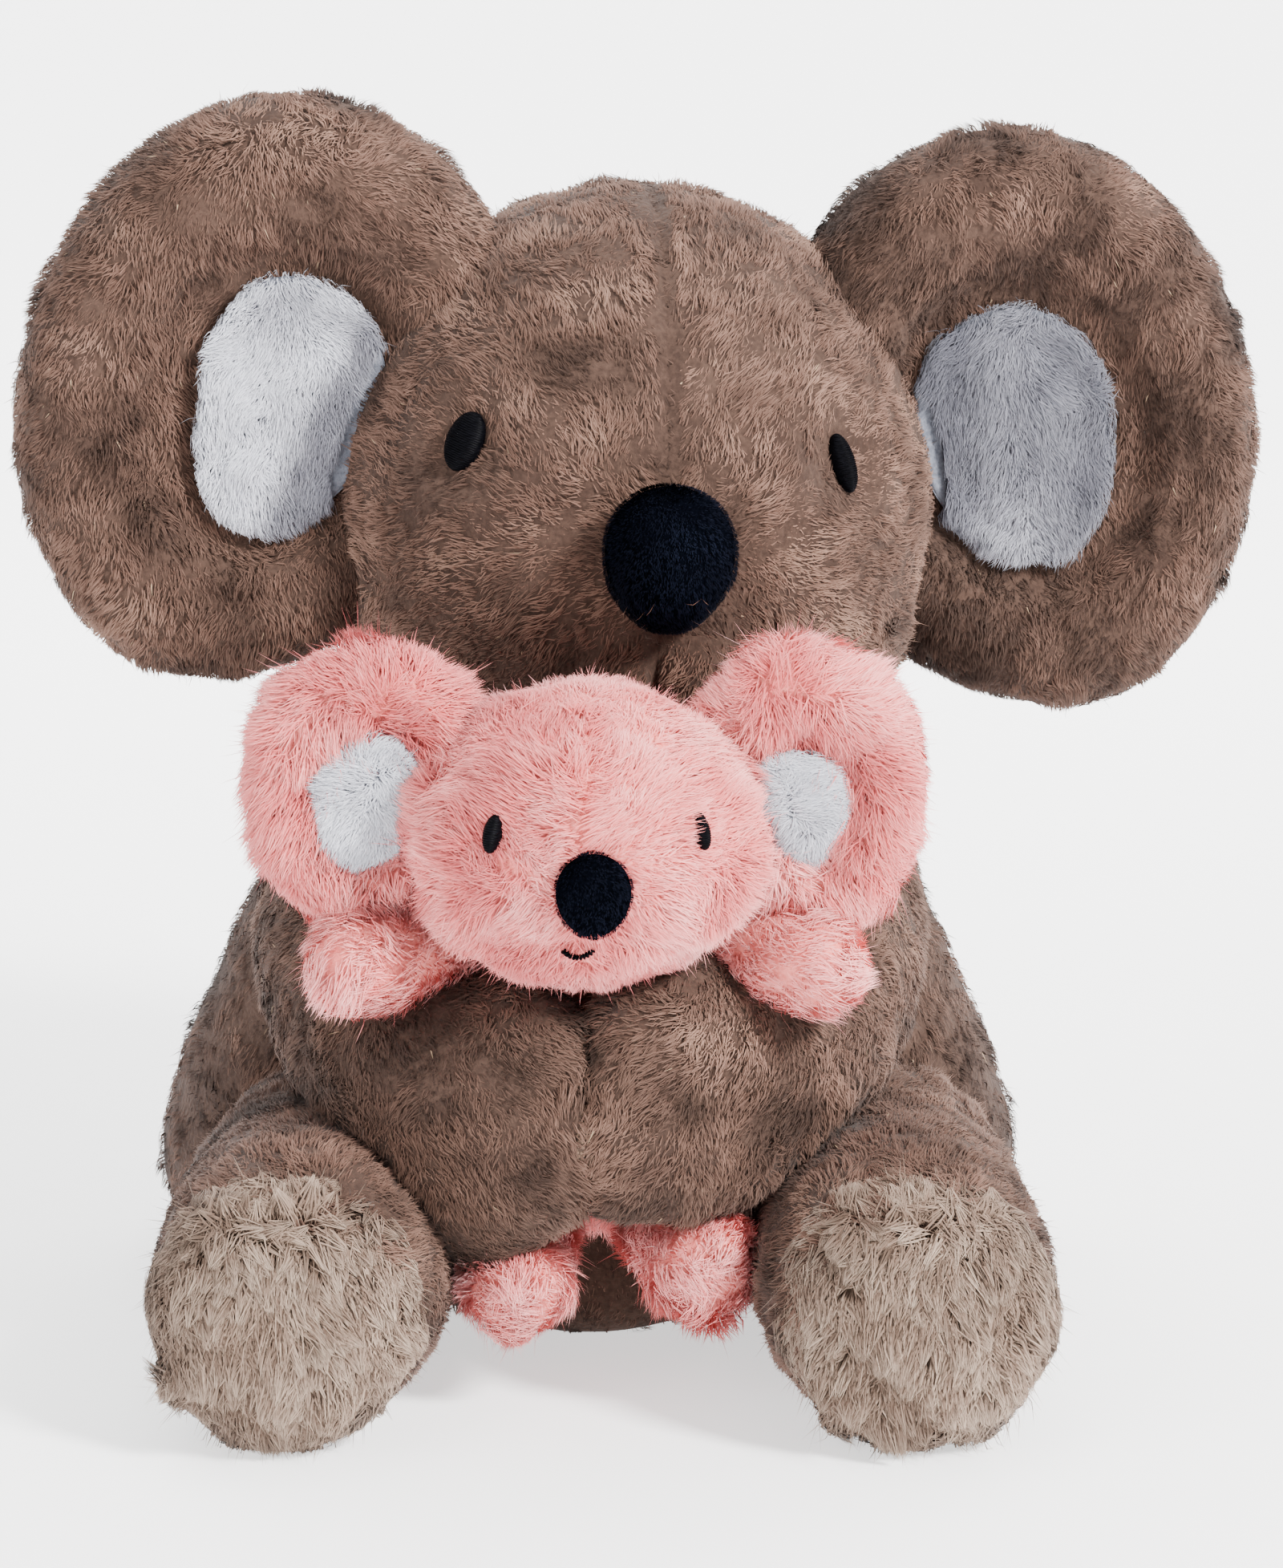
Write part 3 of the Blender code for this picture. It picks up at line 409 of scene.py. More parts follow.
def ear_form(place, turn, radius, outline, crest, back, side, low_cut=0.0, crease=0.0):
    """A padded ear: its outline round a hollowed front and a crowned back."""

    def shape(x, y, z):
        ring = np.hypot(x, z)
        angle = np.arctan2(z, x)
        reach = radius * outline_at(outline, angle) * ring
        depth = np.where(y < 0, -crest * rim_depth(EAR_FRONT, ring), back * rim_depth(EAR_REAR, ring))
        return stack(side * reach * np.cos(angle), depth, reach * np.sin(angle))

    def holds(points, grow=0.0):
        x, y, z = ((points - place) @ turn).T
        reach = radius * outline_at(outline, np.arctan2(z, side * x))
        ring = np.hypot(x, z) / (reach + grow)
        inside = (y > -crest * rim_depth(EAR_FRONT, ring) - grow) & (y < back * rim_depth(EAR_REAR, ring) + grow)
        return (ring < 1) & inside

    def relief(points, normals):
        """Drawn in at the lower outer edge, and in a crease across the outer side of the front."""
        x, y, z = np.moveaxis((points - place) @ turn / radius, -1, 0)
        low = np.arctan2(-z, side * x)
        depth = low_cut * np.exp(-(((low - 0.75) / 0.55) ** 2)) * np.clip(np.hypot(x, z) * 2 - 1, 0, 1)
        fold = np.exp(-(((z + 0.1 + 0.05 * x) / 0.03) ** 2)) * np.exp(-(((side * x - 0.6) / 0.17) ** 2)) * (y < 0)
        return depth + crease * fold

    return Form(shape, holds, place, turn, True, relief if low_cut else None)


def rim_depth(table, ring):
    """An ear's half thickness: its table, then a quarter ellipse from the table's last place to the edge."""
    start = table[-1][0]
    return eased(table, ring) * np.sqrt(np.maximum(0.0, 1 - (np.maximum(0, ring - start) / (1 - start)) ** 2))


def lining_cut(angle, cut):
    """How much a lining's outline is drawn in on its outer side: 1 - cut * cos(angle)^1.5."""
    return 1 - cut * np.maximum(0, np.cos(angle)) ** 1.5


def lining_form(place, turn, radius, outline, crest, side, share, thick, cut=0.0):
    """The crowned panel in the hollow of an ear."""

    def shape(x, y, z):
        ring = np.hypot(x, z)
        angle = np.arctan2(z, x)
        reach = radius * outline_at(outline, angle) * ring * share * lining_cut(angle, cut)
        crown = np.where(y < 0, thick * np.sqrt(np.maximum(0.0, 1 - ring**4)), 0.0)
        depth = -crest * eased(EAR_FRONT, ring * share) - LINING_GAP - crown
        return stack(side * reach * np.cos(angle), depth, reach * np.sin(angle))

    return Form(shape, None, place, turn, True)


def head_spot(sizes, centre, turn, x, z):
    """A place on the front of a head at shares of its half sizes, with its outward, sideways and upward ways."""
    y = -math.sqrt(1 - x * x - z * z)
    out = unit(np.array((x, y, z)) / sizes)
    side = unit(np.cross(UP, out))
    ways = np.stack([side, out, np.cross(out, side)]) @ turn.T
    return centre + turn @ (np.array((x, y, z)) * sizes), ways


def pad_form(spot, ways, wide, high, rise, stand, lean=0.0, ridges=0.0, taper=0.0):
    """A small domed pad on a head, part sunk, with ridges round it where threads lie side by side."""
    side, out, lift = ways
    side, lift = side * math.cos(lean) + lift * math.sin(lean), lift * math.cos(lean) - side * math.sin(lean)
    middle = spot + out * stand
    inner = np.stack([side / wide, out / rise, lift / high])

    def shape(x, y, z):
        swell = 1 + (0.16 * np.abs(np.sin(math.pi * z * high / ridges + 0.5 * x)) if ridges else 0.0)
        x = x * (1 + taper * z)
        return middle + side * (wide * x)[..., None] + lift * (high * z)[..., None] - out * (rise * y * swell)[..., None]

    def holds(points, grow=0.0):
        return (((points - middle) @ inner.T * (1 - grow / wide)) ** 2).sum(-1) < 1

    return Form(shape, holds)


def baby_body_shape(x, y, z):
    """A flattened pear that leans forward at the top."""
    flat = np.maximum(np.hypot(x, y), 1e-9)
    ring = blunt(z, 2.8)
    middle = BABY_Y - BABY_LEAN * np.maximum(0, z) ** 2
    height = BABY_SEAT + (BABY_TOP - BABY_SEAT) / 2 * (1 + z)
    return stack(BABY_WIDE * ring * x / flat, middle + BABY_DEEP * ring * y / flat, height)


def in_baby_body(points, grow=0.0):
    """Whether points are inside the baby's ring at their height."""
    x, y, z = points.T
    place = np.clip((z - BABY_SEAT) / (BABY_TOP - BABY_SEAT) * 2 - 1, -1, 1)
    ring = blunt(place, 2.8)
    middle = BABY_Y - BABY_LEAN * np.maximum(0, place) ** 2
    return (x / (BABY_WIDE * ring + grow + 1e-6)) ** 2 + ((y - middle) / (BABY_DEEP * ring + grow + 1e-6)) ** 2 < 1


def linear(red, green, blue):
    """A colour given as a screen shows it, from 0 to 255, as the light that it stands for."""
    return tuple(((value / 255 + 0.055) / 1.055) ** 2.4 if value > 10 else value / 255 / 12.92 for value in (red, green, blue))


class Wire:
    """A socket in a material. Sums on it add Math nodes, and add() makes any other node."""

    def __init__(self, tree, socket=None):
        self.tree = tree
        self.socket = socket

    def add(self, kind, settings=(), values=(), out=0):
        node = self.tree.nodes.new("ShaderNode" + kind)
        for name, value in dict(settings).items():
            if name != "stops":
                setattr(node, name, value)
                continue
            ramp = node.color_ramp
            while len(ramp.elements) < len(value):
                ramp.elements.new(0.5)
            for stop, (place, colour) in zip(ramp.elements, value):
                stop.position = place
                stop.color = (*colour, 1.0) if len(colour) == 3 else colour
        for place, value in dict(values).items():
            if isinstance(value, Wire):
                self.tree.links.new(value.socket, node.inputs[place])
            else:
                node.inputs[place].default_value = value
        return Wire(self.tree, node.outputs[out])

    def sum(self, operation, *others, clamp=False):
        values = {place: value for place, value in enumerate((self, *others))}
        return self.add("Math", {"operation": operation, "use_clamp": clamp}, values)

    def __add__(self, other):
        return self.sum("ADD", other)

    def __radd__(self, other):
        return self.sum("ADD", other)

    def __sub__(self, other):
        return self.sum("SUBTRACT", other)

    def __rsub__(self, other):
        return self.add("Math", {"operation": "SUBTRACT"}, {0: other, 1: self})

    def __mul__(self, other):
        return self.sum("MULTIPLY", other)

    def __rmul__(self, other):
        return self.sum("MULTIPLY", other)

    def __pow__(self, other):
        return self.sum("POWER", other)

    def between(self, low, high):
        """0 below low, 1 above high, and a smooth rise between them."""
        return self.add("MapRange", {"interpolation_type": "SMOOTHSTEP"}, {0: self, 1: low, 2: high})

    def ramp(self, *stops):
        return self.add("ValToRGB", {"stops": stops}, {0: self})

    def blend(self, one, other):
        """The first colour where this wire is 0, the other where it is 1."""
        ends = {0: self}
        for place, colour in ((6, one), (7, other)):
            ends[place] = colour if isinstance(colour, Wire) else (*colour, 1.0)
        return self.add("Mix", {"data_type": "RGBA"}, ends, 2)


def new_material(name, roughness, sheen=0.0, sheen_tint=(1, 1, 1)):
    """A material, its shader and a first wire of its tree."""
    material = bpy.data.materials.new(name)
    material.use_nodes = True
    shader = material.node_tree.nodes["Principled BSDF"]
    shader.inputs["Roughness"].default_value = roughness
    shader.inputs["Sheen Weight"].default_value = sheen
    shader.inputs["Sheen Roughness"].default_value = 0.5
    shader.inputs["Sheen Tint"].default_value = (*sheen_tint, 1.0)
    shader.inputs["Specular IOR Level"].default_value = 0.15
    return material, shader, Wire(material.node_tree)


def feed(shader, socket, wire):
    wire.tree.links.new(wire.socket, shader.inputs[socket])


def hair_material(name, shades, root_dark, tip, fleck=None, sheen=0.15, shine=0.12, tipped=0.6):
    """Pile coloured by its own map: u picks the shade of a hair, v runs from its root to its paler tip."""
    material, shader, wire = new_material(name, 0.75, sheen)
    shader.inputs["Specular IOR Level"].default_value = shine
    place = wire.add("UVMap", {"uv_map": "OFBake"})
    u = wire.add("SeparateXYZ", (), {0: place}, "X")
    v = wire.add("SeparateXYZ", (), {0: place}, "Y")
    stops = [(index / (len(shades) - 1) * 0.92, shade) for index, shade in enumerate(shades)]
    colour = u.ramp(*stops)
    dark = wire.add("Mix", {"data_type": "RGBA", "blend_type": "MULTIPLY"}, {0: 1.0, 6: colour, 7: (*root_dark, 1)}, 2)
    colour = v.between(-0.15, 0.75).blend(dark, colour)
    colour = (v.between(0.55, 1.1) * tipped * (u * 1.1 + 0.35)).blend(colour, tip)
    if fleck:
        colour = (u.between(0.955, 0.965) * v.between(0.3, 0.6)).blend(colour, fleck)
    feed(shader, "Base Color", colour)
    return material


def cloth_material(name, dark, light, grain, sheen=0.15):
    """The cloth under a pile: two tones in patches and fine grain, with a bump of the same grain."""
    material, shader, wire = new_material(name, 0.95, sheen)
    shader.inputs["Specular IOR Level"].default_value = 0.1 * (sheen > 0)
    place = wire.add("TexCoord", (), (), "Object")
    patches = wire.add("TexNoise", (), {"Vector": place, "Scale": 70.0, "Detail": 3.0})
    fine = wire.add("TexNoise", (), {"Vector": place, "Scale": grain, "Detail": 2.0})
    feed(shader, "Base Color", (patches * 0.5 + fine * 0.5).between(0.35, 0.65).blend(dark, light))
    bump = wire.add("Bump", (), {"Strength": 0.6, "Distance": 0.0005, "Height": fine})
    feed(shader, "Normal", bump)
    return material


# The mother's short crushed pile, taupe brown with gold flecks
BROWN_HAIR = hair_material(
    "brown_pile",
    [linear(45, 33, 28), linear(76, 57, 49), linear(91, 68, 58), linear(106, 80, 69), linear(125, 97, 83)],
    (0.7, 0.65, 0.63),
    linear(138, 109, 95),
    linear(146, 124, 100),
    0.06,
    0.08,
    tipped=0.5,
)
BROWN_CLOTH = cloth_material("brown_plush_cloth", linear(54, 40, 34), linear(72, 55, 47), 900.0, 0.06)
# The linings' white pile and cloth. The pile's dark grey-blue stops are there for the painted shade in the ear
# hollows, and the cloth is grey as painted shade where it shows by the head
WHITE_HAIR = hair_material(
    "white_pile",
    [linear(80, 80, 89), linear(114, 114, 123), linear(164, 165, 174), linear(208, 210, 219)],
    (0.86, 0.86, 0.89),
    linear(222, 224, 231),
    tipped=0.22,
)
WHITE_CLOTH = cloth_material("white_plush_cloth", linear(84, 87, 97), linear(114, 117, 127), 1100.0)
PINK_HAIR = hair_material(
    "pink_pile",
    [linear(196, 92, 92), linear(216, 107, 105), linear(231, 128, 125), linear(239, 153, 150)],
    (0.94, 0.66, 0.66),
    linear(247, 187, 183),
)
PINK_CLOTH = cloth_material("pink_plush_cloth", linear(226, 120, 113), linear(238, 146, 138), 1000.0)
BEIGE_HAIR = hair_material(
    "beige_long_pile",
    [linear(84, 67, 56), linear(110, 89, 76), linear(129, 108, 94), linear(150, 129, 113)],
    (0.42, 0.37, 0.34),
    linear(182, 162, 145),
)
BEIGE_CLOTH = cloth_material("beige_cloth", linear(84, 68, 56), linear(108, 90, 76), 900.0)
NAVY_HAIR = hair_material(
    "navy_velour_pile", [(0.001, 0.0012, 0.0025), (0.002, 0.0025, 0.0055), (0.005, 0.0065, 0.014)], (0.6, 0.6, 0.6),
    (0.006, 0.008, 0.018), None, 0.0, 0.02
)
NAVY_CLOTH = cloth_material("navy_velour_cloth", (0.0005, 0.0006, 0.001), (0.0012, 0.0015, 0.003), 1500.0, 0.0)


def thread_material():
    """Black thread with fine fibres along it, and a soft gloss."""
    material, shader, wire = new_material("black_stitch_thread", 0.5)
    shader.inputs["Specular IOR Level"].default_value = 0.03
    place = wire.add("TexCoord", (), (), "Object")
    stretched = wire.add("Mapping", (), {"Vector": place, "Scale": (900.0, 900.0, 5200.0)})
    fibre = wire.add("TexNoise", (), {"Vector": stretched, "Scale": 1.0, "Detail": 3.0})
    feed(shader, "Base Color", fibre.between(0.3, 0.75).blend((0.0006, 0.0006, 0.001), (0.003, 0.003, 0.0045)))
    feed(shader, "Roughness", 0.3 + fibre * 0.3)
    feed(shader, "Normal", wire.add("Bump", (), {"Strength": 0.5, "Distance": 0.0001, "Height": fibre}))
    return material


THREAD = thread_material()


def fibre_material(name, dark, light):
    """Loose fibre or plain cotton, in cloudy tones with a crossed weave in its bump."""
    material, shader, wire = new_material(name, 1.0)
    place = wire.add("TexCoord", (), (), "Object")
    cloud = wire.add("TexNoise", (), {"Vector": place, "Scale": 240.0, "Detail": 6.0})
    feed(shader, "Base Color", cloud.between(0.3, 0.7).blend(dark, light))
    feed(shader, "Normal", wire.add("Bump", (), {"Strength": 0.7, "Distance": 0.001, "Height": cloud}))
    return material


def tape_material():
    """Hook-and-loop tape: rows of small loops."""
    material, shader, wire = new_material("fastener_tape_loops", 0.7, 0.2)
    place = wire.add("TexCoord", (), (), "Object")
    loops = wire.add("TexVoronoi", {"feature": "F1"}, {"Vector": place, "Scale": 1400.0})
    feed(shader, "Base Color", loops.between(0.1, 0.7).blend(linear(124, 98, 80), linear(62, 46, 37)))
    feed(shader, "Normal", wire.add("Bump", (), {"Strength": 0.8, "Distance": 0.0004, "Height": 1 - loops}))
    return material


# Hidden nodes keep their CAD shapes
FILLING = fibre_material("polyester_fibre", linear(205, 205, 200), linear(240, 240, 236))
COTTON = fibre_material("cotton_bag_cloth", linear(186, 180, 168), linear(212, 208, 198))
TAPE = tape_material()
for node_name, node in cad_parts.items():
    if "filling" in node_name:
        node.data.materials[0] = FILLING
    elif node_name == "pellet_bag":
        node.data.materials[0] = COTTON
    elif "patch" in node_name:
        node.data.materials[0] = TAPE


def finish_piece(piece, body, nodes=()):
    """The piece rides on a body and stands for its nodes, which it hides."""
    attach(piece, body)
    if nodes:
        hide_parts(*nodes)
    return piece


def area_places(form, count, draw, weight=None):
    """u and v of random places on a form, as many on each bit of surface as its area and weight ask for."""
    around, rows = 96, 72
    u, v = np.meshgrid((np.arange(around) + 0.5) / around, (np.arange(rows) + 0.5) / rows)
    across, along = form.slopes(u, v)
    area = np.linalg.norm(np.cross(across, along), axis=-1)
    if weight:
        points, normals = form.at(u, v)
        area = area * weight(points.reshape(-1, 3), normals.reshape(-1, 3)).reshape(area.shape)
    total = np.cumsum(area.ravel())
    cell = np.searchsorted(total, draw.uniform(0, total[-1], count))
    return (cell % around + draw.uniform(size=count)) / around, (cell // around + draw.uniform(size=count)) / rows


def pile(name, form, material, count, seed, inset, length, lean, flow, width=0.00017, clump=5, spread=0.0011,
         pull=0.55, wild=0.3, tone=0.5, patch=0.22, flecks=0.0, drop=(), press=(), keep=None, weight=None, limit=None,
         stretch=None, painted_shade=None, frizz=0.15, stray=0.02, gloss=0.22, lock_tone=0.07):
    """Hairs of two triangles each, in clumps, rooted on a form.

    A clump's hairs start round its middle and their tips are drawn together. Each hair leaves along the normal,
    leaning by an angle along the flow, bends further at half its length and ends in a point. Its flat side
    faces out. Its map holds its shade across and its length along it.
    """
    draw = np.random.default_rng(seed)
    clumps = max(1, count // clump)
    u, v = area_places(form, clumps, draw, weight)
    middle, normal = form.at(u, v, inset)
    across, along = form.slopes(u, v)
    # Roots: steps in the tangent plane, turned into steps of u and v by the surface's own metric
    member = np.repeat(np.arange(clumps), clump)
    step = draw.normal(0, spread, (len(member), 3))
    across, along = across[member], along[member]
    e, f, g = (across**2).sum(-1), (across * along).sum(-1), (along**2).sum(-1)
    one, other = (step * across).sum(-1), (step * along).sum(-1)
    det = np.maximum(e * g - f * f, 1e-16)
    du = np.clip((g * one - f * other) / det, -0.5, 0.5)
    dv = np.clip((e * other - f * one) / det, -0.05, 0.05)
    root, out = form.at(u[member] + du, np.clip(v[member] + dv, 0, 1), inset)
    alive = np.ones(len(member), bool)
    for holds in drop:
        alive &= ~holds(root)
    if keep:
        alive &= keep(root)
    member, root, out = member[alive], root[alive], out[alive]
    # Direction: the flow in the tangent plane, with slow and quick wandering
    way = unit(flow(middle, normal)) + wild * drift(middle, 0.022, seed + 11) + 0.7 * wild * drift(middle, 0.007, seed + 31)
    way = unit(way - normal * dots(way, normal))[member]
    way = way + draw.normal(0, frizz, way.shape)
    way = unit(way - out * dots(way, out))
    size = length * (1 + 0.22 * waves(middle, 0.012, seed + 51)[member]) * draw.uniform(0.72, 1.15, len(member))
    angle = lean + 0.25 * waves(middle, 0.016, seed + 71)[member] + draw.normal(0, 0.12, len(member))
    if stretch is not None:
        size = size * stretch(root, out)
    loose = draw.uniform(size=len(member)) < stray
    size = np.where(loose, size * 1.2, size)
    angle = np.where(loose, angle * 0.5, angle)
    for holds in press:
        pressed = holds(root, 0.001)
        size = np.where(pressed, size * 0.4, size)
        angle = np.where(pressed, 1.35, angle)
    angle = np.clip(angle, 0.05, 1.45)[:, None]
    size = size[:, None]
    bend = angle * 0.45
    half = root + size * 0.5 * (out * np.cos(bend) + way * np.sin(bend))
    tip = half + size * 0.5 * (out * np.cos(angle * 1.3) + way * np.sin(angle * 1.3))
    # Each clump's own tip: the mean of its hairs' tips, towards which they are drawn
    number = np.bincount(member, minlength=clumps)[:, None]
    mean = np.stack([np.bincount(member, tip[:, axis], clumps) for axis in range(3)], -1) / np.maximum(number, 1)
    tip = tip + (mean[member] - tip) * np.where(loose, 0.0, pull)[:, None]
    if limit:
        root, half, tip = limit(root), limit(half), limit(tip)
    ahead = unit(tip - root)
    beside = unit(np.cross(out, ahead) + 1e-6)
    roll = draw.normal(0, 0.45, (len(root), 1))
    beside = unit(beside * np.cos(roll) + np.cross(ahead, beside) * np.sin(roll))
    breadth = width * draw.uniform(0.6, 1.3, (len(root), 1)) * np.where(loose, 0.55, 1.0)[:, None]
    points = np.stack([root, half - beside * breadth, half + beside * breadth, tip], 1).reshape(-1, 3)
    start = np.arange(len(root))[:, None] * 4
    faces = np.concatenate([start + (0, 1, 2), start + (1, 3, 2)], 1).reshape(-1, 3)
    piece = new_mesh(name, points, faces, material)
    # Normals: between the surface's own and the hair's, so that a lock shades as one
    across_hair = unit(out - ahead * dots(out, ahead))
    facing = unit(out + across_hair * gloss + draw.normal(0, 0.05, out.shape))
    piece.data.normals_split_custom_set_from_vertices(np.repeat(facing, 4, 0).astype(np.float32))
    # The map: shade and length
    lock = draw.normal(0, lock_tone, clumps)[member]
    # The patches are random tone, and they also stand in for the crushed pile's sheen: partly painted sheen
    shade = tone + patch * waves(root, 0.026, seed + 101) * 0.7 + patch * waves(root, 0.009, seed + 111) * 0.3
    # Painted shade: a darker tone where the piece's own shade function says shade falls
    if painted_shade:
        shade = shade - painted_shade(root)
    shade = np.clip(shade + lock + draw.normal(0, 0.05, len(root)), 0.02, 0.9)
    shade = np.where(draw.uniform(size=len(root)) < flecks, 0.985, shade)
    across_map = np.stack([shade, shade - 0.006, shade + 0.006, shade], 1)
    along_map = np.broadcast_to([0.01, 0.5, 0.5, 0.99], across_map.shape)
    corner = np.stack([across_map, along_map], -1).reshape(-1, 2)[faces.ravel()]
    layer = piece.data.uv_layers.new(name="OFBake")
    layer.data.foreach_set("uv", corner.astype(np.float32).ravel())
    return piece


def above_floor(points):
    """Points kept on or above the floor."""
    points = points.copy()
    points[:, 2] = np.maximum(points[:, 2], 0.0003)
    return points


def own_side(side, space):
    """A limit that keeps points on one side of the plane where the paws meet, and above the floor."""

    def limit(points):
        points = above_floor(points)
        points[:, 0] = side * np.maximum(side * points[:, 0], space)
        return points

    return limit


def seat_relief(points, normals):
    """The seat swells out by 9 mm between the legs, below the baby."""
    x, y, z = np.moveaxis(points, -1, 0)
    ahead = np.clip(-y / 0.03, 0, 1) * np.clip((1 + normals[..., 2]) / 0.12, 0, 1)
    return -0.009 * np.exp(-((x / 0.03) ** 2) - (z / 0.016) ** 2) * ahead


# Every stuffed form, and the tests that say what lies inside it
BODY = Form(body_shape, in_body, relief=seat_relief)
HEAD_INSIDE = in_ball(HEAD_CENTRE, HEAD_TURN, HEAD_SIZES)
EYES = {}
for side, across, up, wide in ((-1, -0.625, 0.262, 0.0042), (1, 0.58, 0.245, 0.0023)):
    spot, ways = head_spot(HEAD_SIZES, HEAD_CENTRE, HEAD_TURN, across, up)
    EYES[side] = (spot, ways, pad_form(spot, ways, wide, 0.0063, 0.0025, -0.0015, side * math.radians(14.0), 0.00045))
NOSE_SPOT, NOSE_WAYS = head_spot(HEAD_SIZES, HEAD_CENTRE, HEAD_TURN, 0.0, -0.02)
NOSE = pad_form(NOSE_SPOT, NOSE_WAYS, 0.0136, 0.0152, 0.0125, 0.0045, taper=0.09)


def seam_share(y):
    """The middle seam fades out at the crown: 1 in front, 0 behind."""
    return np.clip((0.002 - y) / 0.014, 0, 1)


def head_relief(points, normals):
    """How deep the head is drawn in: dimples round the eyes and the nose, the middle seam, and the muzzle's lobes.

    It stays above the fibre inside, and is less than 0 where a brow or a lobe swells out.
    """
    depth = 0.0
    for side in (-1, 1):
        far = np.linalg.norm(points - EYES[side][0], axis=-1)
        depth = depth + 0.0016 * np.exp(-((far / 0.0075) ** 2)) - 0.0014 * np.exp(-(((far - 0.014) / 0.005) ** 2))
    far = np.linalg.norm(points - NOSE_SPOT, axis=-1)
    depth = depth + 0.0012 * np.exp(-(((far - 0.0165) / 0.004) ** 2))
    x, y, z = np.moveaxis((points - HEAD_CENTRE) @ HEAD_TURN, -1, 0)
    front = np.clip(-y / 0.02, 0, 1)
    lobes = np.exp(-(((np.abs(x) - 0.0085) / 0.0075) ** 2) - ((z + 0.026) / 0.011) ** 2)
    seam = np.exp(-((x / 0.0015) ** 2)) * seam_share(y)
    return np.minimum(depth - 0.0035 * lobes * front + 0.0014 * seam, 0.0016)


HEAD = Form(ball_shape(HEAD_SIZES, CHEEKS), HEAD_INSIDE, HEAD_CENTRE, HEAD_TURN, relief=head_relief)
EARS, LININGS = {}, {}
for side, word in SIDES:
    place = HEAD_CENTRE + HEAD_TURN @ (EAR_PLACE * (side, 1, 1) * HEAD_SIZES + (EAR_OUTWARDS, 0, 0))
    EARS[side] = ear_form(place, HEAD_TURN, EAR_RADIUS, EAR_OUTLINE, EAR_CREST, EAR_BACK, side, *EAR_CUTS[side])
    LININGS[side] = lining_form(
        place, HEAD_TURN, EAR_RADIUS, EAR_OUTLINE, EAR_CREST, side, LINING_SHARE, LINING_THICK, LINING_CUTS[side]
    )
ARMS = {side: arm_form(side) for side, word in SIDES}
LEGS = {side: leg_form(side) for side, word in SIDES}
BABY_HEAD = Form(
    ball_shape(BABY_HEAD_SIZES), in_ball(BABY_HEAD_CENTRE, np.eye(3), BABY_HEAD_SIZES), BABY_HEAD_CENTRE
)
BABY_BODY = Form(baby_body_shape, in_baby_body)
BABY_EARS, BABY_LININGS, BABY_ARMS, BABY_LEGS = {}, {}, {}, {}
for side, word in SIDES:
    place = BABY_HEAD_CENTRE + BABY_EAR_PLACE * (side, 1, 1) * BABY_HEAD_SIZES
    sizes = (BABY_EAR_RADIUS, BABY_EAR_OUTLINE, BABY_EAR_CREST)
    BABY_EARS[side] = ear_form(place, np.eye(3), *sizes, BABY_EAR_BACK, side)
    BABY_LININGS[side] = lining_form(place, np.eye(3), *sizes, side, BABY_LINING_SHARES[side], BABY_LINING_THICK)
    start, end = (side * 0.011, BABY_Y, 0.097), (side * 0.051, BABY_Y - 0.0458, 0.094)
    BABY_ARMS[side] = Form(*blunt_tube(start, end, 0.0112, 3.0, LIMB_SWELL))
    shift, low = (0.0145, 0.0055) if side < 0 else (0.0262, 0.0005)
    start, end = (side * 0.0135, BABY_Y, BABY_SEAT + 0.006), (side * shift, BABY_Y - 0.04, BABY_SEAT - low)
    BABY_LEGS[side] = Form(*blunt_tube(start, end, 0.0118, 3.0, LIMB_SWELL))


def towards(way):
    """A flow that goes the same way everywhere."""
    return lambda points, normals: np.broadcast_to(np.array(way, float), points.shape)


def from_spot(spot, down=0.0):
    """A flow away from a place on the form, and down a little."""
    return lambda points, normals: unit(points - spot) + np.array((0, 0, -down))


def head_flow(points, normals):
    """Away from the nose, away from the middle seam, and down behind."""
    x, y, z = ((points - HEAD_CENTRE) @ HEAD_TURN).T
    way = unit(points - NOSE_SPOT)
    aside = np.sign(x) * np.exp(-((x / 0.004) ** 2)) * seam_share(y)
    way = way + aside[:, None] * HEAD_TURN[:, 0] * 0.8
    for side in (-1, 1):
        away = points - EYES[side][0]
        way = way + unit(away) * np.exp(-((np.linalg.norm(away, axis=-1) / 0.009) ** 2))[:, None] * 1.5
    return way + np.clip(y / 0.05, 0, 1)[:, None] * (0, 0, -1.5)


def when_turned(holds, grow):
    """A test for a form, met when the head stands straight or is turned to either end of its range."""

    def met(points, extra=0.0):
        held = holds(points, grow)
        for angle in (-HEAD_SWING, HEAD_SWING):
            held = held | holds((points - HEAD_CENTRE) @ turn_about(2, angle) + HEAD_CENTRE, grow)
        return held

    return met


def eye_short(points, normals):
    """The mother's pile is shorter round her eyes and along the middle seam."""
    near = sum(np.exp(-((np.linalg.norm(points - EYES[side][0], axis=-1) / 0.008) ** 2)) for side in (-1, 1))
    x, y, z = ((points - HEAD_CENTRE) @ HEAD_TURN).T
    return 1 - 0.3 * near - 0.3 * np.exp(-((x / 0.002) ** 2)) * seam_share(y)


def painted_head_shade(points):
    """Painted shade in the groove of the middle seam, and in the dimples round the eyes and round the nose, where the
    pile is drawn in.
    """
    x, y, z = ((points - HEAD_CENTRE) @ HEAD_TURN).T
    shade = 0.7 * np.exp(-((x / 0.0013) ** 2)) * seam_share(y - 0.008)
    shade = shade + 0.2 * np.exp(-(((np.linalg.norm(points - NOSE_SPOT, axis=-1) - 0.016) / 0.004) ** 2))
    for side in (-1, 1):
        shade = shade + 0.25 * np.exp(-((np.linalg.norm(points - EYES[side][0], axis=-1) / 0.0095) ** 2))
    return shade


def seam_clear(points):
    """No hair on the middle seam of the head, and none under the eyes' and the nose's edges."""
    x, y, z = ((points - HEAD_CENTRE) @ HEAD_TURN).T
    gap = (0.0003 + 0.0002 * waves(points, 0.005, 9)) * seam_share(y)
    seam = np.abs(x) < gap
    return ~seam & ~NOSE.holds(points, 0.0) & ~EYES[-1][2].holds(points, 0.0) & ~EYES[1][2].holds(points, 0.0)


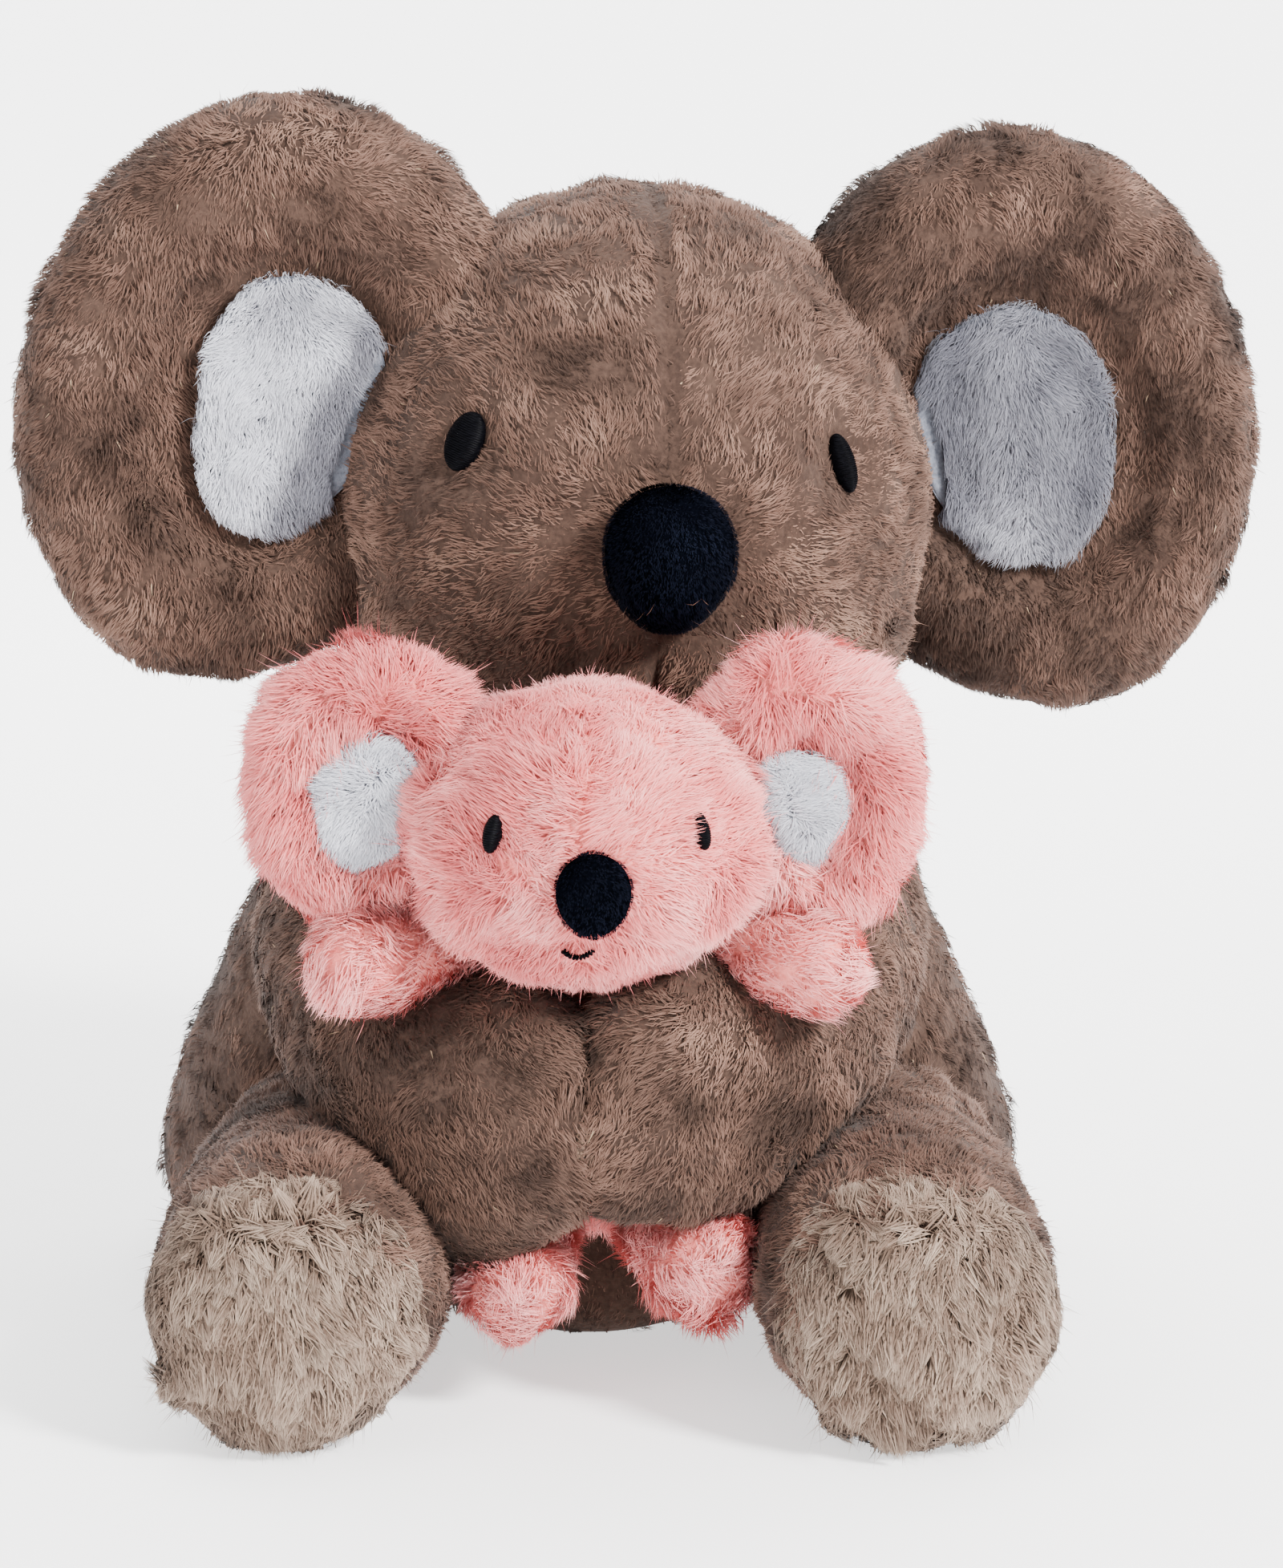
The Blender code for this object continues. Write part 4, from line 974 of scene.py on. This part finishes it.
def ear_flow(centre, radius, outwards):
    """Down and back, and away from the ear's middle by the share outwards."""

    def flow(points, normals):
        away = (points - centre) * (1, 0, 1) / radius
        behind = np.clip(normals[:, 1:2] * 2, 0, 1)
        return away * outwards + np.array((0, 0.35, -0.8)) * (1 - behind) + behind * (0, 0, -0.9)

    return flow


def arm_flow(curve):
    """Along the arm to the paw, and a little down."""
    start, bend, end = curve
    shares = np.arange(33) / 32
    centres, aheads = curve_at(start, bend, end, shares)

    def flow(points, normals):
        near = ((points[:, None] - centres) ** 2).sum(-1).argmin(-1)
        return aheads[near] * (0.8, 0, 0.8) + np.array((0, 0.2, -0.8))

    return flow


def front_half(points, normals):
    """More hairs in front, where they show most."""
    return np.where(normals[:, 1] < 0.35, 1.0, 0.0)


def back_half(points, normals):
    return np.where(normals[:, 1] < 0.35, 0.0, 1.0)


INSET = 0.0022
SKIN_INSET = 0.0012
PINK_SKIN_INSET = 0.0013
DENSE = 1.0
BABY_PARTS = [BABY_BODY.holds, BABY_HEAD.holds] + [BABY_ARMS[side].holds for side in (-1, 1)]
brown = dict(
    material=BROWN_HAIR, inset=INSET, length=0.0037, lean=1.12, flecks=0.001, width=0.00014, clump=6, spread=0.0009,
    wild=0.36, patch=0.36, pull=0.42, frizz=0.12,
)


def hairs(number):
    return int(number * DENSE)


# The mother's body
body_skin = closed_piece("body_skin", BODY, BROWN_CLOTH, 128, 96, SKIN_INSET, above_floor)
finish_piece(body_skin, "torso", ["body_cover"])
body_pile = dict(
    brown, flow=towards((0, 0.1, -1)), limit=above_floor, tone=0.22,
    drop=[when_turned(HEAD_INSIDE, -0.0005)] + [LEGS[s].holds for s in (-1, 1)],
    press=[ARMS[s][0].holds for s in (-1, 1)] + BABY_PARTS,
)
finish_piece(pile("body_pile_front", BODY, count=hairs(60000), seed=100, weight=front_half, **body_pile), "torso")
finish_piece(pile("body_pile_back", BODY, count=hairs(58000), seed=200, weight=back_half, **body_pile), "torso")

# The mother's head and its face
head_skin = closed_piece("head_skin", HEAD, BROWN_CLOTH, 192, 128, SKIN_INSET)
finish_piece(head_skin, "head", ["head_cover"])
head_pile = dict(
    brown, tone=0.54, flow=head_flow, keep=seam_clear, stretch=eye_short, painted_shade=painted_head_shade,
    drop=[when_turned(in_body, -0.001)] + [EARS[s].holds for s in (-1, 1)], press=[when_turned(in_body, 0.0025)],
)
finish_piece(pile("head_pile_front", HEAD, count=hairs(80000), seed=300, weight=front_half, **head_pile), "head")
finish_piece(pile("head_pile_back", HEAD, count=hairs(52000), seed=400, weight=back_half, **head_pile), "head")
for side, word in SIDES:
    eye = closed_piece("eye_stitches_" + word, EYES[side][2], THREAD, 32, 200)
    finish_piece(eye, "head", ["eye_" + word])
nose_skin = closed_piece("nose_skin", NOSE, NAVY_CLOTH, 64, 48, 0.0006)
finish_piece(nose_skin, "head", ["nose"])
nose_pile = pile(
    "nose_pile", NOSE, NAVY_HAIR, hairs(16000), 500, 0.0006, 0.0011, 0.8, towards((0, 0, -1)), width=0.00009,
    clump=3, spread=0.0004, pull=0.3, wild=0.25, drop=[lambda p, g=0.0: HEAD_INSIDE(p, -0.001)],
)
finish_piece(nose_pile, "head")
strays = dict(inset=-0.0009, lean=1.42, width=0.00004, clump=2, spread=0.002, pull=0.1, wild=0.6, frizz=0.3, tone=0.7)
nose_hairs = pile(
    "nose_stray_hairs", NOSE, BROWN_HAIR, 60, 520, length=0.0045, flow=towards((0.3, 0, -1)), weight=front_half,
    keep=lambda p: p[:, 2] < NOSE_SPOT[2] - 0.006, **strays
)
finish_piece(nose_hairs, "head")

# The mother's ears
for side, word in SIDES:
    ear = EARS[side]
    skin = closed_piece("ear_skin_" + word, ear, BROWN_CLOTH, 112, 88, SKIN_INSET)
    finish_piece(skin, "head", ["ear_cover_" + word])

    def off_lining(points, place=ear.place, side=side):
        x, y, z = ((points - place) @ HEAD_TURN).T
        angle = np.arctan2(z, side * x)
        reach = EAR_RADIUS * outline_at(EAR_OUTLINE, angle) * lining_cut(angle, LINING_CUTS[side])
        return ~((np.hypot(x, z) / reach < LINING_SHARE * 0.97) & (y < 0))

    def painted_ear_shade(points, place=ear.place, side=side):
        """Painted shade on the front: in a ring round the lining, low down, and by the head."""
        x, y, z = ((points - place) @ HEAD_TURN).T
        share = np.hypot(x, z) / (EAR_RADIUS * outline_at(EAR_OUTLINE, np.arctan2(z, side * x)))
        ring = np.exp(-(((share - 0.62) / 0.13) ** 2))
        low = np.clip(-z / 0.03, 0, 1) * np.clip(1 - side * x / 0.03, 0, 1)
        return (y < 0.004) * (0.16 * ring + (0.1 if side < 0 else 0.18) * low)

    # The right ear's lower tone is painted shade
    ear_pile = dict(
        brown, tone=0.51 if side < 0 else 0.28, lean=1.1, pull=0.34, stray=0.01, flow=ear_flow(ear.place, EAR_RADIUS, 0.5),
        keep=off_lining, painted_shade=painted_ear_shade, drop=[lambda p, g=0.0: HEAD_INSIDE(p, -0.002)],
    )
    finish_piece(
        pile("ear_pile_front_" + word, ear, count=hairs(48000), seed=600 + side, weight=front_half, **ear_pile),
        "head",
    )
    finish_piece(
        pile("ear_pile_back_" + word, ear, count=hairs(32000), seed=650 + side, weight=back_half, **ear_pile),
        "head",
    )
    panel = closed_piece("ear_lining_skin_" + word, LININGS[side], WHITE_CLOTH, 64, 48, 0.0003)
    finish_piece(panel, "head", ["ear_lining_" + word])

    def painted_hollow_shade(points, place=ear.place, side=side):
        """Painted shade in the hollow: the head's cast shadow and shade under the rim on the left one, shade all over
        the right one.
        """
        x, y, z = ((points - place) @ HEAD_TURN).T
        if side < 0:
            painted_head_shadow = eased(((0, 0), (1, 1)), np.clip((x - 0.002 - 0.42 * z) / 0.008, 0, 1))
            top = np.clip((z - 0.012) / 0.009, 0, 1) * np.clip((x + 0.01) / 0.01, 0, 1)
            return 0.6 * painted_head_shadow + 0.25 * top * (1 - painted_head_shadow)
        light = np.clip((-z - 0.002) / 0.02, 0, 1) * np.clip(1.2 - np.abs(x) / 0.018, 0, 1)
        return 0.7 - 0.26 * light + 0.2 * np.clip((-x - 0.006) / 0.01, 0, 1)

    panel_pile = pile(
        "ear_lining_pile_" + word, LININGS[side], WHITE_HAIR, hairs(24000), 700 + side, 0.0003, 0.0042, 1.15,
        from_spot(ear.place + (0, 0, 0.012), 1.4), width=0.00011, clump=6, spread=0.0009, weight=front_half, pull=0.35,
        drop=[lambda p, g=0.0: HEAD_INSIDE(p, 0.0015)], tone=0.85, patch=0.1, wild=0.4, frizz=0.12, lock_tone=0.04,
        painted_shade=painted_hollow_shade,
    )
    finish_piece(panel_pile, "head")

# The mother's arms
for side, word in SIDES:
    arm, curve = ARMS[side]
    skin = closed_piece("arm_skin_" + word, arm, BROWN_CLOTH, 80, 120, SKIN_INSET, own_side(side, 0.0009))
    finish_piece(skin, "arm_" + word, ["arm_cover_" + word])
    # The left arm's lower tone is painted shade, on the side away from the key light
    arm_pile = pile(
        "arm_pile_" + word, arm, count=hairs(72000), seed=800 + side, flow=arm_flow(curve), limit=own_side(side, -0.003),
        keep=lambda p, side=side: side * p[:, 0] > 0.0012,
        stretch=lambda p, n: 1 + 0.5 * np.exp(-((p[:, 0] / 0.0045) ** 2)),
        drop=[lambda p, g=0.0: in_body(p, -0.006)], press=BABY_PARTS + [LEGS[s].holds for s in (-1, 1)], tone=0.33 if side < 0 else 0.4,
        **{**brown, "wild": 0.42},
    )
    finish_piece(arm_pile, "arm_" + word)

# The mother's legs and soles
for side, word in SIDES:
    leg = LEGS[side]
    sole_middle = np.array((side * (LEG_SHIFTS[side] + 0.0012), -SOLE_REACH, LEG_HEIGHT - 0.0015))

    def foot_end(points):
        points = above_floor(points)
        points[:, 1] = np.maximum(points[:, 1], -SOLE_REACH - 0.0035)
        return points

    skin = closed_piece("leg_skin_" + word, leg, BROWN_CLOTH, 80, 72, SKIN_INSET, foot_end)
    finish_piece(skin, "torso", ["leg_cover_" + word])
    leg_pile = pile(
        "leg_pile_" + word, leg, count=hairs(56000), seed=900 + side, flow=towards((0, 0.8, -0.6)), limit=above_floor,
        keep=lambda p, c=sole_middle: ~((np.hypot(p[:, 0] - c[0], p[:, 2] - c[2]) < SOLE_RADIUS * 0.8) & (p[:, 1] < -0.12)),
        drop=[in_body], tone=0.4, **brown,
    )
    finish_piece(leg_pile, "torso")

    def sole_shape(x, y, z, middle=sole_middle):
        ring = np.hypot(x, z)
        bulge = np.where(y < 0, SOLE_BULGE * np.sqrt(np.maximum(0.0, 1 - ring**3)), 0.0)
        return middle + stack(SOLE_RADIUS * x, SOLE_TUCK * ring**4 - bulge - 0.0003, SOLE_RADIUS * z)

    sole = Form(sole_shape, front=True)
    pad = closed_piece("sole_skin_" + word, sole, BEIGE_CLOTH, 64, 48, 0.001)
    finish_piece(pad, "torso", ["sole_pad_" + word])
    whorl = sole_middle + (0, -SOLE_BULGE, 0.0185)

    def sole_flow(points, normals, whorl=whorl):
        """Down and outwards from a tangled parting, and up above it."""
        below = np.clip((whorl[2] - points[:, 2]) / 0.004 + 0.5, 0, 1)[:, None]
        near = np.exp(-(((points[:, 2:] - whorl[2]) / 0.004) ** 2))
        way = np.clip((points - whorl) / 0.02, -0.8, 0.8) * (1, 0, 0) + 1.2 * near * drift(points, 0.0025, 5)
        return way + below * (0, 0, -2.2) + (1 - below) * (0, -0.3, 1.6)

    def short_top(points, normals, top=whorl[2], middle=sole_middle):
        """Shorter hairs above the parting and at the sides."""
        beside = np.abs(points[:, 0] - middle[0]) / SOLE_RADIUS
        return 1 - 0.25 * np.clip((points[:, 2] - top) / 0.004, 0, 1) - 0.4 * beside**3

    sole_pile = pile(
        "sole_pile_" + word, sole, BEIGE_HAIR, hairs(32000), 1000 + side, 0.001, 0.0088, 1.2, sole_flow,
        width=0.00017, clump=20, spread=0.001, pull=0.84, wild=0.3, patch=0.2, tone=0.45, weight=front_half, limit=above_floor,
        stretch=short_top, lock_tone=0.2, frizz=0.1,
    )
    finish_piece(sole_pile, "torso")

# The baby
pink = dict(
    material=PINK_HAIR, inset=0.0025, length=0.0078, lean=0.98, width=0.00014, clump=9, spread=0.0012, wild=0.5,
    pull=0.5, stray=0.02, patch=0.3, frizz=0.2, lock_tone=0.11,
)


def baby_head_flow(points, normals):
    """Away from the middle seam and the nose, and down."""
    away = points - BABY_HEAD_CENTRE
    aside = np.sign(away[:, 0]) * np.exp(-((away[:, 0] / 0.005) ** 2))
    nose = unit(points - BABY_NOSE_SPOT)
    return nose + stack(aside, 0.0, -0.45)


BABY_NOSE_SPOT, BABY_NOSE_WAYS = head_spot(BABY_HEAD_SIZES, BABY_HEAD_CENTRE, np.eye(3), 0.05, -0.15)
BABY_NOSE = pad_form(BABY_NOSE_SPOT, BABY_NOSE_WAYS, 0.0076, 0.0086, 0.006, 0.0016, taper=0.06)
BABY_EYES = {}
for side, word in SIDES:
    spot, ways = head_spot(BABY_HEAD_SIZES, BABY_HEAD_CENTRE, np.eye(3), side * 0.56 + 0.06, 0.19)
    wide, stand = (0.0018, 0.0004) if side < 0 else (0.0014, 0.0016)
    BABY_EYES[side] = pad_form(spot, ways, wide, 0.0038, 0.002, stand, side * 0.12, 0.00045)


def baby_face_clear(points):
    """No hair under the baby's nose and eyes."""
    eyes = BABY_EYES[-1].holds(points, 0.0003) | BABY_EYES[1].holds(points, 0.0008)
    return ~(BABY_NOSE.holds(points, 0.0) | eyes)


def painted_face_shade(points):
    """Painted shade on the left half of the baby's face, the side away from the key light."""
    return 0.2 * np.clip((BABY_HEAD_CENTRE[0] + 0.006 - points[:, 0]) / 0.03, 0, 1)


def short_face(points, normals):
    """The baby's pile is shorter round its nose and its eyes."""
    near = np.exp(-((np.linalg.norm(points - BABY_NOSE_SPOT, axis=-1) / 0.012) ** 2))
    for side in (-1, 1):
        near = near + np.exp(-((np.linalg.norm(points - BABY_EYES[side].bare(0.0, 0.5), axis=-1) / 0.007) ** 2))
    below = np.clip((BABY_HEAD_CENTRE[2] - 0.012 - points[:, 2]) / 0.015, 0, 1)
    above = np.clip((points[:, 2] - BABY_HEAD_CENTRE[2] - 0.012) / 0.014, 0, 1)
    return 1 - 0.45 * np.clip(near + below + above, 0, 1)


skin = closed_piece("baby_head_skin", BABY_HEAD, PINK_CLOTH, 96, 72, PINK_SKIN_INSET)
finish_piece(skin, "baby", ["baby_head_cover"])
fur = pile(
    "baby_head_pile", BABY_HEAD, count=hairs(74000), seed=1100, flow=baby_head_flow, keep=baby_face_clear,
    stretch=short_face, painted_shade=painted_face_shade, drop=[BABY_EARS[s].holds for s in (-1, 1)], **pink,
)
finish_piece(fur, "baby")
skin = closed_piece("baby_body_skin", BABY_BODY, PINK_CLOTH, 64, 72, PINK_SKIN_INSET)
finish_piece(skin, "baby", ["baby_body_cover"])
fur = pile(
    "baby_body_pile", BABY_BODY, count=hairs(20000), seed=1200, flow=towards((0, 0, -1)),
    drop=[lambda p, g=0.0: BABY_HEAD.holds(p, -0.002)], press=[in_body] + [ARMS[s][0].holds for s in (-1, 1)], **pink,
)
finish_piece(fur, "baby")
skin = closed_piece("baby_nose_skin", BABY_NOSE, NAVY_CLOTH, 48, 36, 0.0004)
finish_piece(skin, "baby", ["baby_nose"])
fur = pile(
    "baby_nose_pile", BABY_NOSE, NAVY_HAIR, hairs(5000), 1250, 0.0004, 0.0009, 0.8, towards((0, 0, -1)), width=0.00008,
    clump=3, spread=0.0003, pull=0.3, drop=[lambda p, g=0.0: BABY_HEAD.holds(p, -0.001)],
)
finish_piece(fur, "baby")
fur = pile(
    "baby_nose_stray_hairs", BABY_NOSE, PINK_HAIR, 30, 1260, length=0.004, flow=towards((-0.3, 0, -1)),
    weight=front_half, keep=lambda p: p[:, 2] < BABY_NOSE_SPOT[2] - 0.005, **strays
)
finish_piece(fur, "baby")
for side, word in SIDES:
    eye = closed_piece("baby_eye_stitches_" + word, BABY_EYES[side], THREAD, 24, 120)
    finish_piece(eye, "baby", ["baby_eye_" + word])
    ear = BABY_EARS[side]
    skin = closed_piece("baby_ear_skin_" + word, ear, PINK_CLOTH, 80, 56, PINK_SKIN_INSET)
    finish_piece(skin, "baby", ["baby_ear_" + word])

    def off_panel(points, place=ear.place, side=side):
        x, y, z = (points - place).T
        reach = BABY_EAR_RADIUS * outline_at(BABY_EAR_OUTLINE, np.arctan2(z, side * x))
        return ~((np.hypot(x, z) / reach < BABY_LINING_SHARES[side] * 0.95) & (y < 0))

    # The left ear's lower tone is painted shade, on the side away from the key light
    fur = pile(
        "baby_ear_pile_" + word, ear, count=hairs(32000), seed=1300 + side, flow=ear_flow(ear.place, BABY_EAR_RADIUS, 1.1),
        keep=off_panel, tone=0.36 if side < 0 else 0.5,
        drop=[lambda p, g=0.0: BABY_HEAD.holds(p, -0.001)], **pink,
    )
    finish_piece(fur, "baby")
    panel = closed_piece("baby_ear_lining_skin_" + word, BABY_LININGS[side], WHITE_CLOTH, 40, 32, 0.0002)
    finish_piece(panel, "baby", ["baby_ear_lining_" + word])
    fur = pile(
        "baby_ear_lining_pile_" + word, BABY_LININGS[side], WHITE_HAIR, hairs(9000), 1400 + side, 0.0002, 0.004, 0.95,
        from_spot(ear.place, 0.6), width=0.00012, spread=0.0008, weight=front_half, tone=0.8 if side < 0 else 0.7,
        patch=0.1, lock_tone=0.04,
    )
    finish_piece(fur, "baby")
    for limb, forms, way in (("arm", BABY_ARMS, (side * 0.6, -0.7, -0.2)), ("leg", BABY_LEGS, (0, -1, -0.3))):
        skin = closed_piece(f"baby_{limb}_skin_{word}", forms[side], PINK_CLOTH, 48, 48, PINK_SKIN_INSET)
        finish_piece(skin, "baby", [f"baby_{limb}_{word}"])
        fur = pile(
            f"baby_{limb}_pile_{word}", forms[side], count=hairs(9000), seed=1500 + side + len(limb) * ord(limb[0]),
            flow=towards(way), drop=[BABY_BODY.holds, BABY_HEAD.holds], tone=0.8, **{**pink, "length": 0.0068},
        )
        finish_piece(fur, "baby")

# The baby's stitched smile: two strands twisted round a curve that follows the face
def smile_strand(name, phase):
    """A thread of radius r wound round the smile's line: line + r (cos a, sin a), then its own round section."""
    across = np.linspace(-1, 1, 60)
    height = -0.54 + 0.05 * (across**2 - 1)
    x = across * 0.08 - 0.035
    local = stack(x, -np.sqrt(1 - x**2 - height**2), height)
    out = unit(local / BABY_HEAD_SIZES)
    line = BABY_HEAD_CENTRE + local * BABY_HEAD_SIZES + out * 0.0009
    ahead = unit(np.gradient(line, axis=0))
    lift = np.cross(out, ahead)
    angle = (across * 14 + phase)[:, None]
    centre = line + 0.0003 * (out * np.cos(angle) + lift * np.sin(angle))
    turn = np.arange(8)[None, :, None] * math.tau / 8
    rings = centre[:, None] + 0.00034 * (out[:, None] * np.cos(turn) + lift[:, None] * np.sin(turn))
    points = np.concatenate([centre[:1], rings.reshape(-1, 3), centre[-1:]])
    return new_mesh(name, points, closed_faces(60, 8, 1.0), THREAD)


strands = [smile_strand("smile_thread_one", 0.0), smile_strand("smile_thread_two", math.pi)]
finish_piece(strands[0], "baby", ["baby_mouth"])
finish_piece(strands[1], "baby")


# The floor with a backdrop that curves up behind, the lights and the camera
def sweep(width, front, back, radius, height):
    """A floor from front to back that turns up in a quarter circle to a wall."""
    bend = np.linspace(0, math.pi / 2, 24)
    y = np.concatenate([[front], back + radius * np.sin(bend), [back + radius]])
    z = np.concatenate([[0.0], radius * (1 - np.cos(bend)), [height]])
    points = np.concatenate([stack(-width, y, z), stack(width, y, z)])
    edge = np.arange(len(y) - 1)
    faces = np.stack([edge, edge + len(y), edge + len(y) + 1, edge + 1], -1)
    material, shader, wire = new_material("pale_paper", 0.9)
    place = wire.add("TexCoord", (), (), "Object")
    grain = wire.add("TexNoise", (), {"Vector": place, "Scale": 60.0, "Detail": 2.0})
    feed(shader, "Base Color", grain.blend((0.9, 0.9, 0.905), (0.94, 0.94, 0.94)))
    # Painted light: the paper glows, dim in front of the toy and full behind it
    depth = wire.add("SeparateXYZ", (), {0: place}, "Y")
    feed(shader, "Emission Color", depth.between(-0.1, 0.9).blend((0.42, 0.42, 0.42), (1.0, 1.0, 1.0)))
    shader.inputs["Emission Strength"].default_value = 2.6
    return new_mesh("pale_backdrop", points, faces, material)


sweep(4.0, -4.0, 1.2, 1.0, 4.0)


def soft_light(name, place, aim, size, power, colour=(1, 1, 1)):
    """A square soft light that shines from a place towards another."""
    light = bpy.data.lights.new(name, "AREA")
    light.size = size
    light.energy = power
    light.color = colour
    lamp = bpy.data.objects.new(name, light)
    bpy.context.scene.collection.objects.link(lamp)
    way = unit(np.array(place, float) - np.array(aim, float))
    side = unit(np.cross(UP, way))
    lift = np.cross(way, side)
    matrix = np.eye(4)
    matrix[:3, 0], matrix[:3, 1], matrix[:3, 2], matrix[:3, 3] = side, lift, way, place
    lamp.matrix_world = Matrix(matrix.tolist())
    return lamp


AIM = (0.0, -0.03, 0.12)
soft_light("key_light", (1.25, -1.15, 1.3), AIM, 0.4, 130.0, (1.0, 0.985, 0.97))
soft_light("fill_light", (-1.2, -1.2, 0.8), AIM, 1.2, 22.0)
soft_light("top_light", (-0.1, 0.3, 1.6), AIM, 1.2, 22.0)

world = bpy.data.worlds.new("studio")
world.use_nodes = True
world.node_tree.nodes["Background"].inputs["Color"].default_value = (1.0, 1.0, 1.0, 1.0)
world.node_tree.nodes["Background"].inputs["Strength"].default_value = 0.6
bpy.context.scene.world = world

camera = bpy.data.cameras.new("camera")
camera.sensor_fit = "AUTO"
camera.sensor_width = 36.0
camera.lens = 36.0 * 6100 / 1955
viewer = bpy.data.objects.new("camera", camera)
bpy.context.scene.collection.objects.link(viewer)
ELEVATION = math.radians(12.0)
TARGET = (0.0109, -0.031, 0.1134)
viewer.location = (TARGET[0], TARGET[1] - 1.033 * math.cos(ELEVATION), TARGET[2] + 1.033 * math.sin(ELEVATION))
viewer.rotation_euler = (math.pi / 2 - ELEVATION, 0.0, 0.0)
bpy.context.scene.camera = viewer
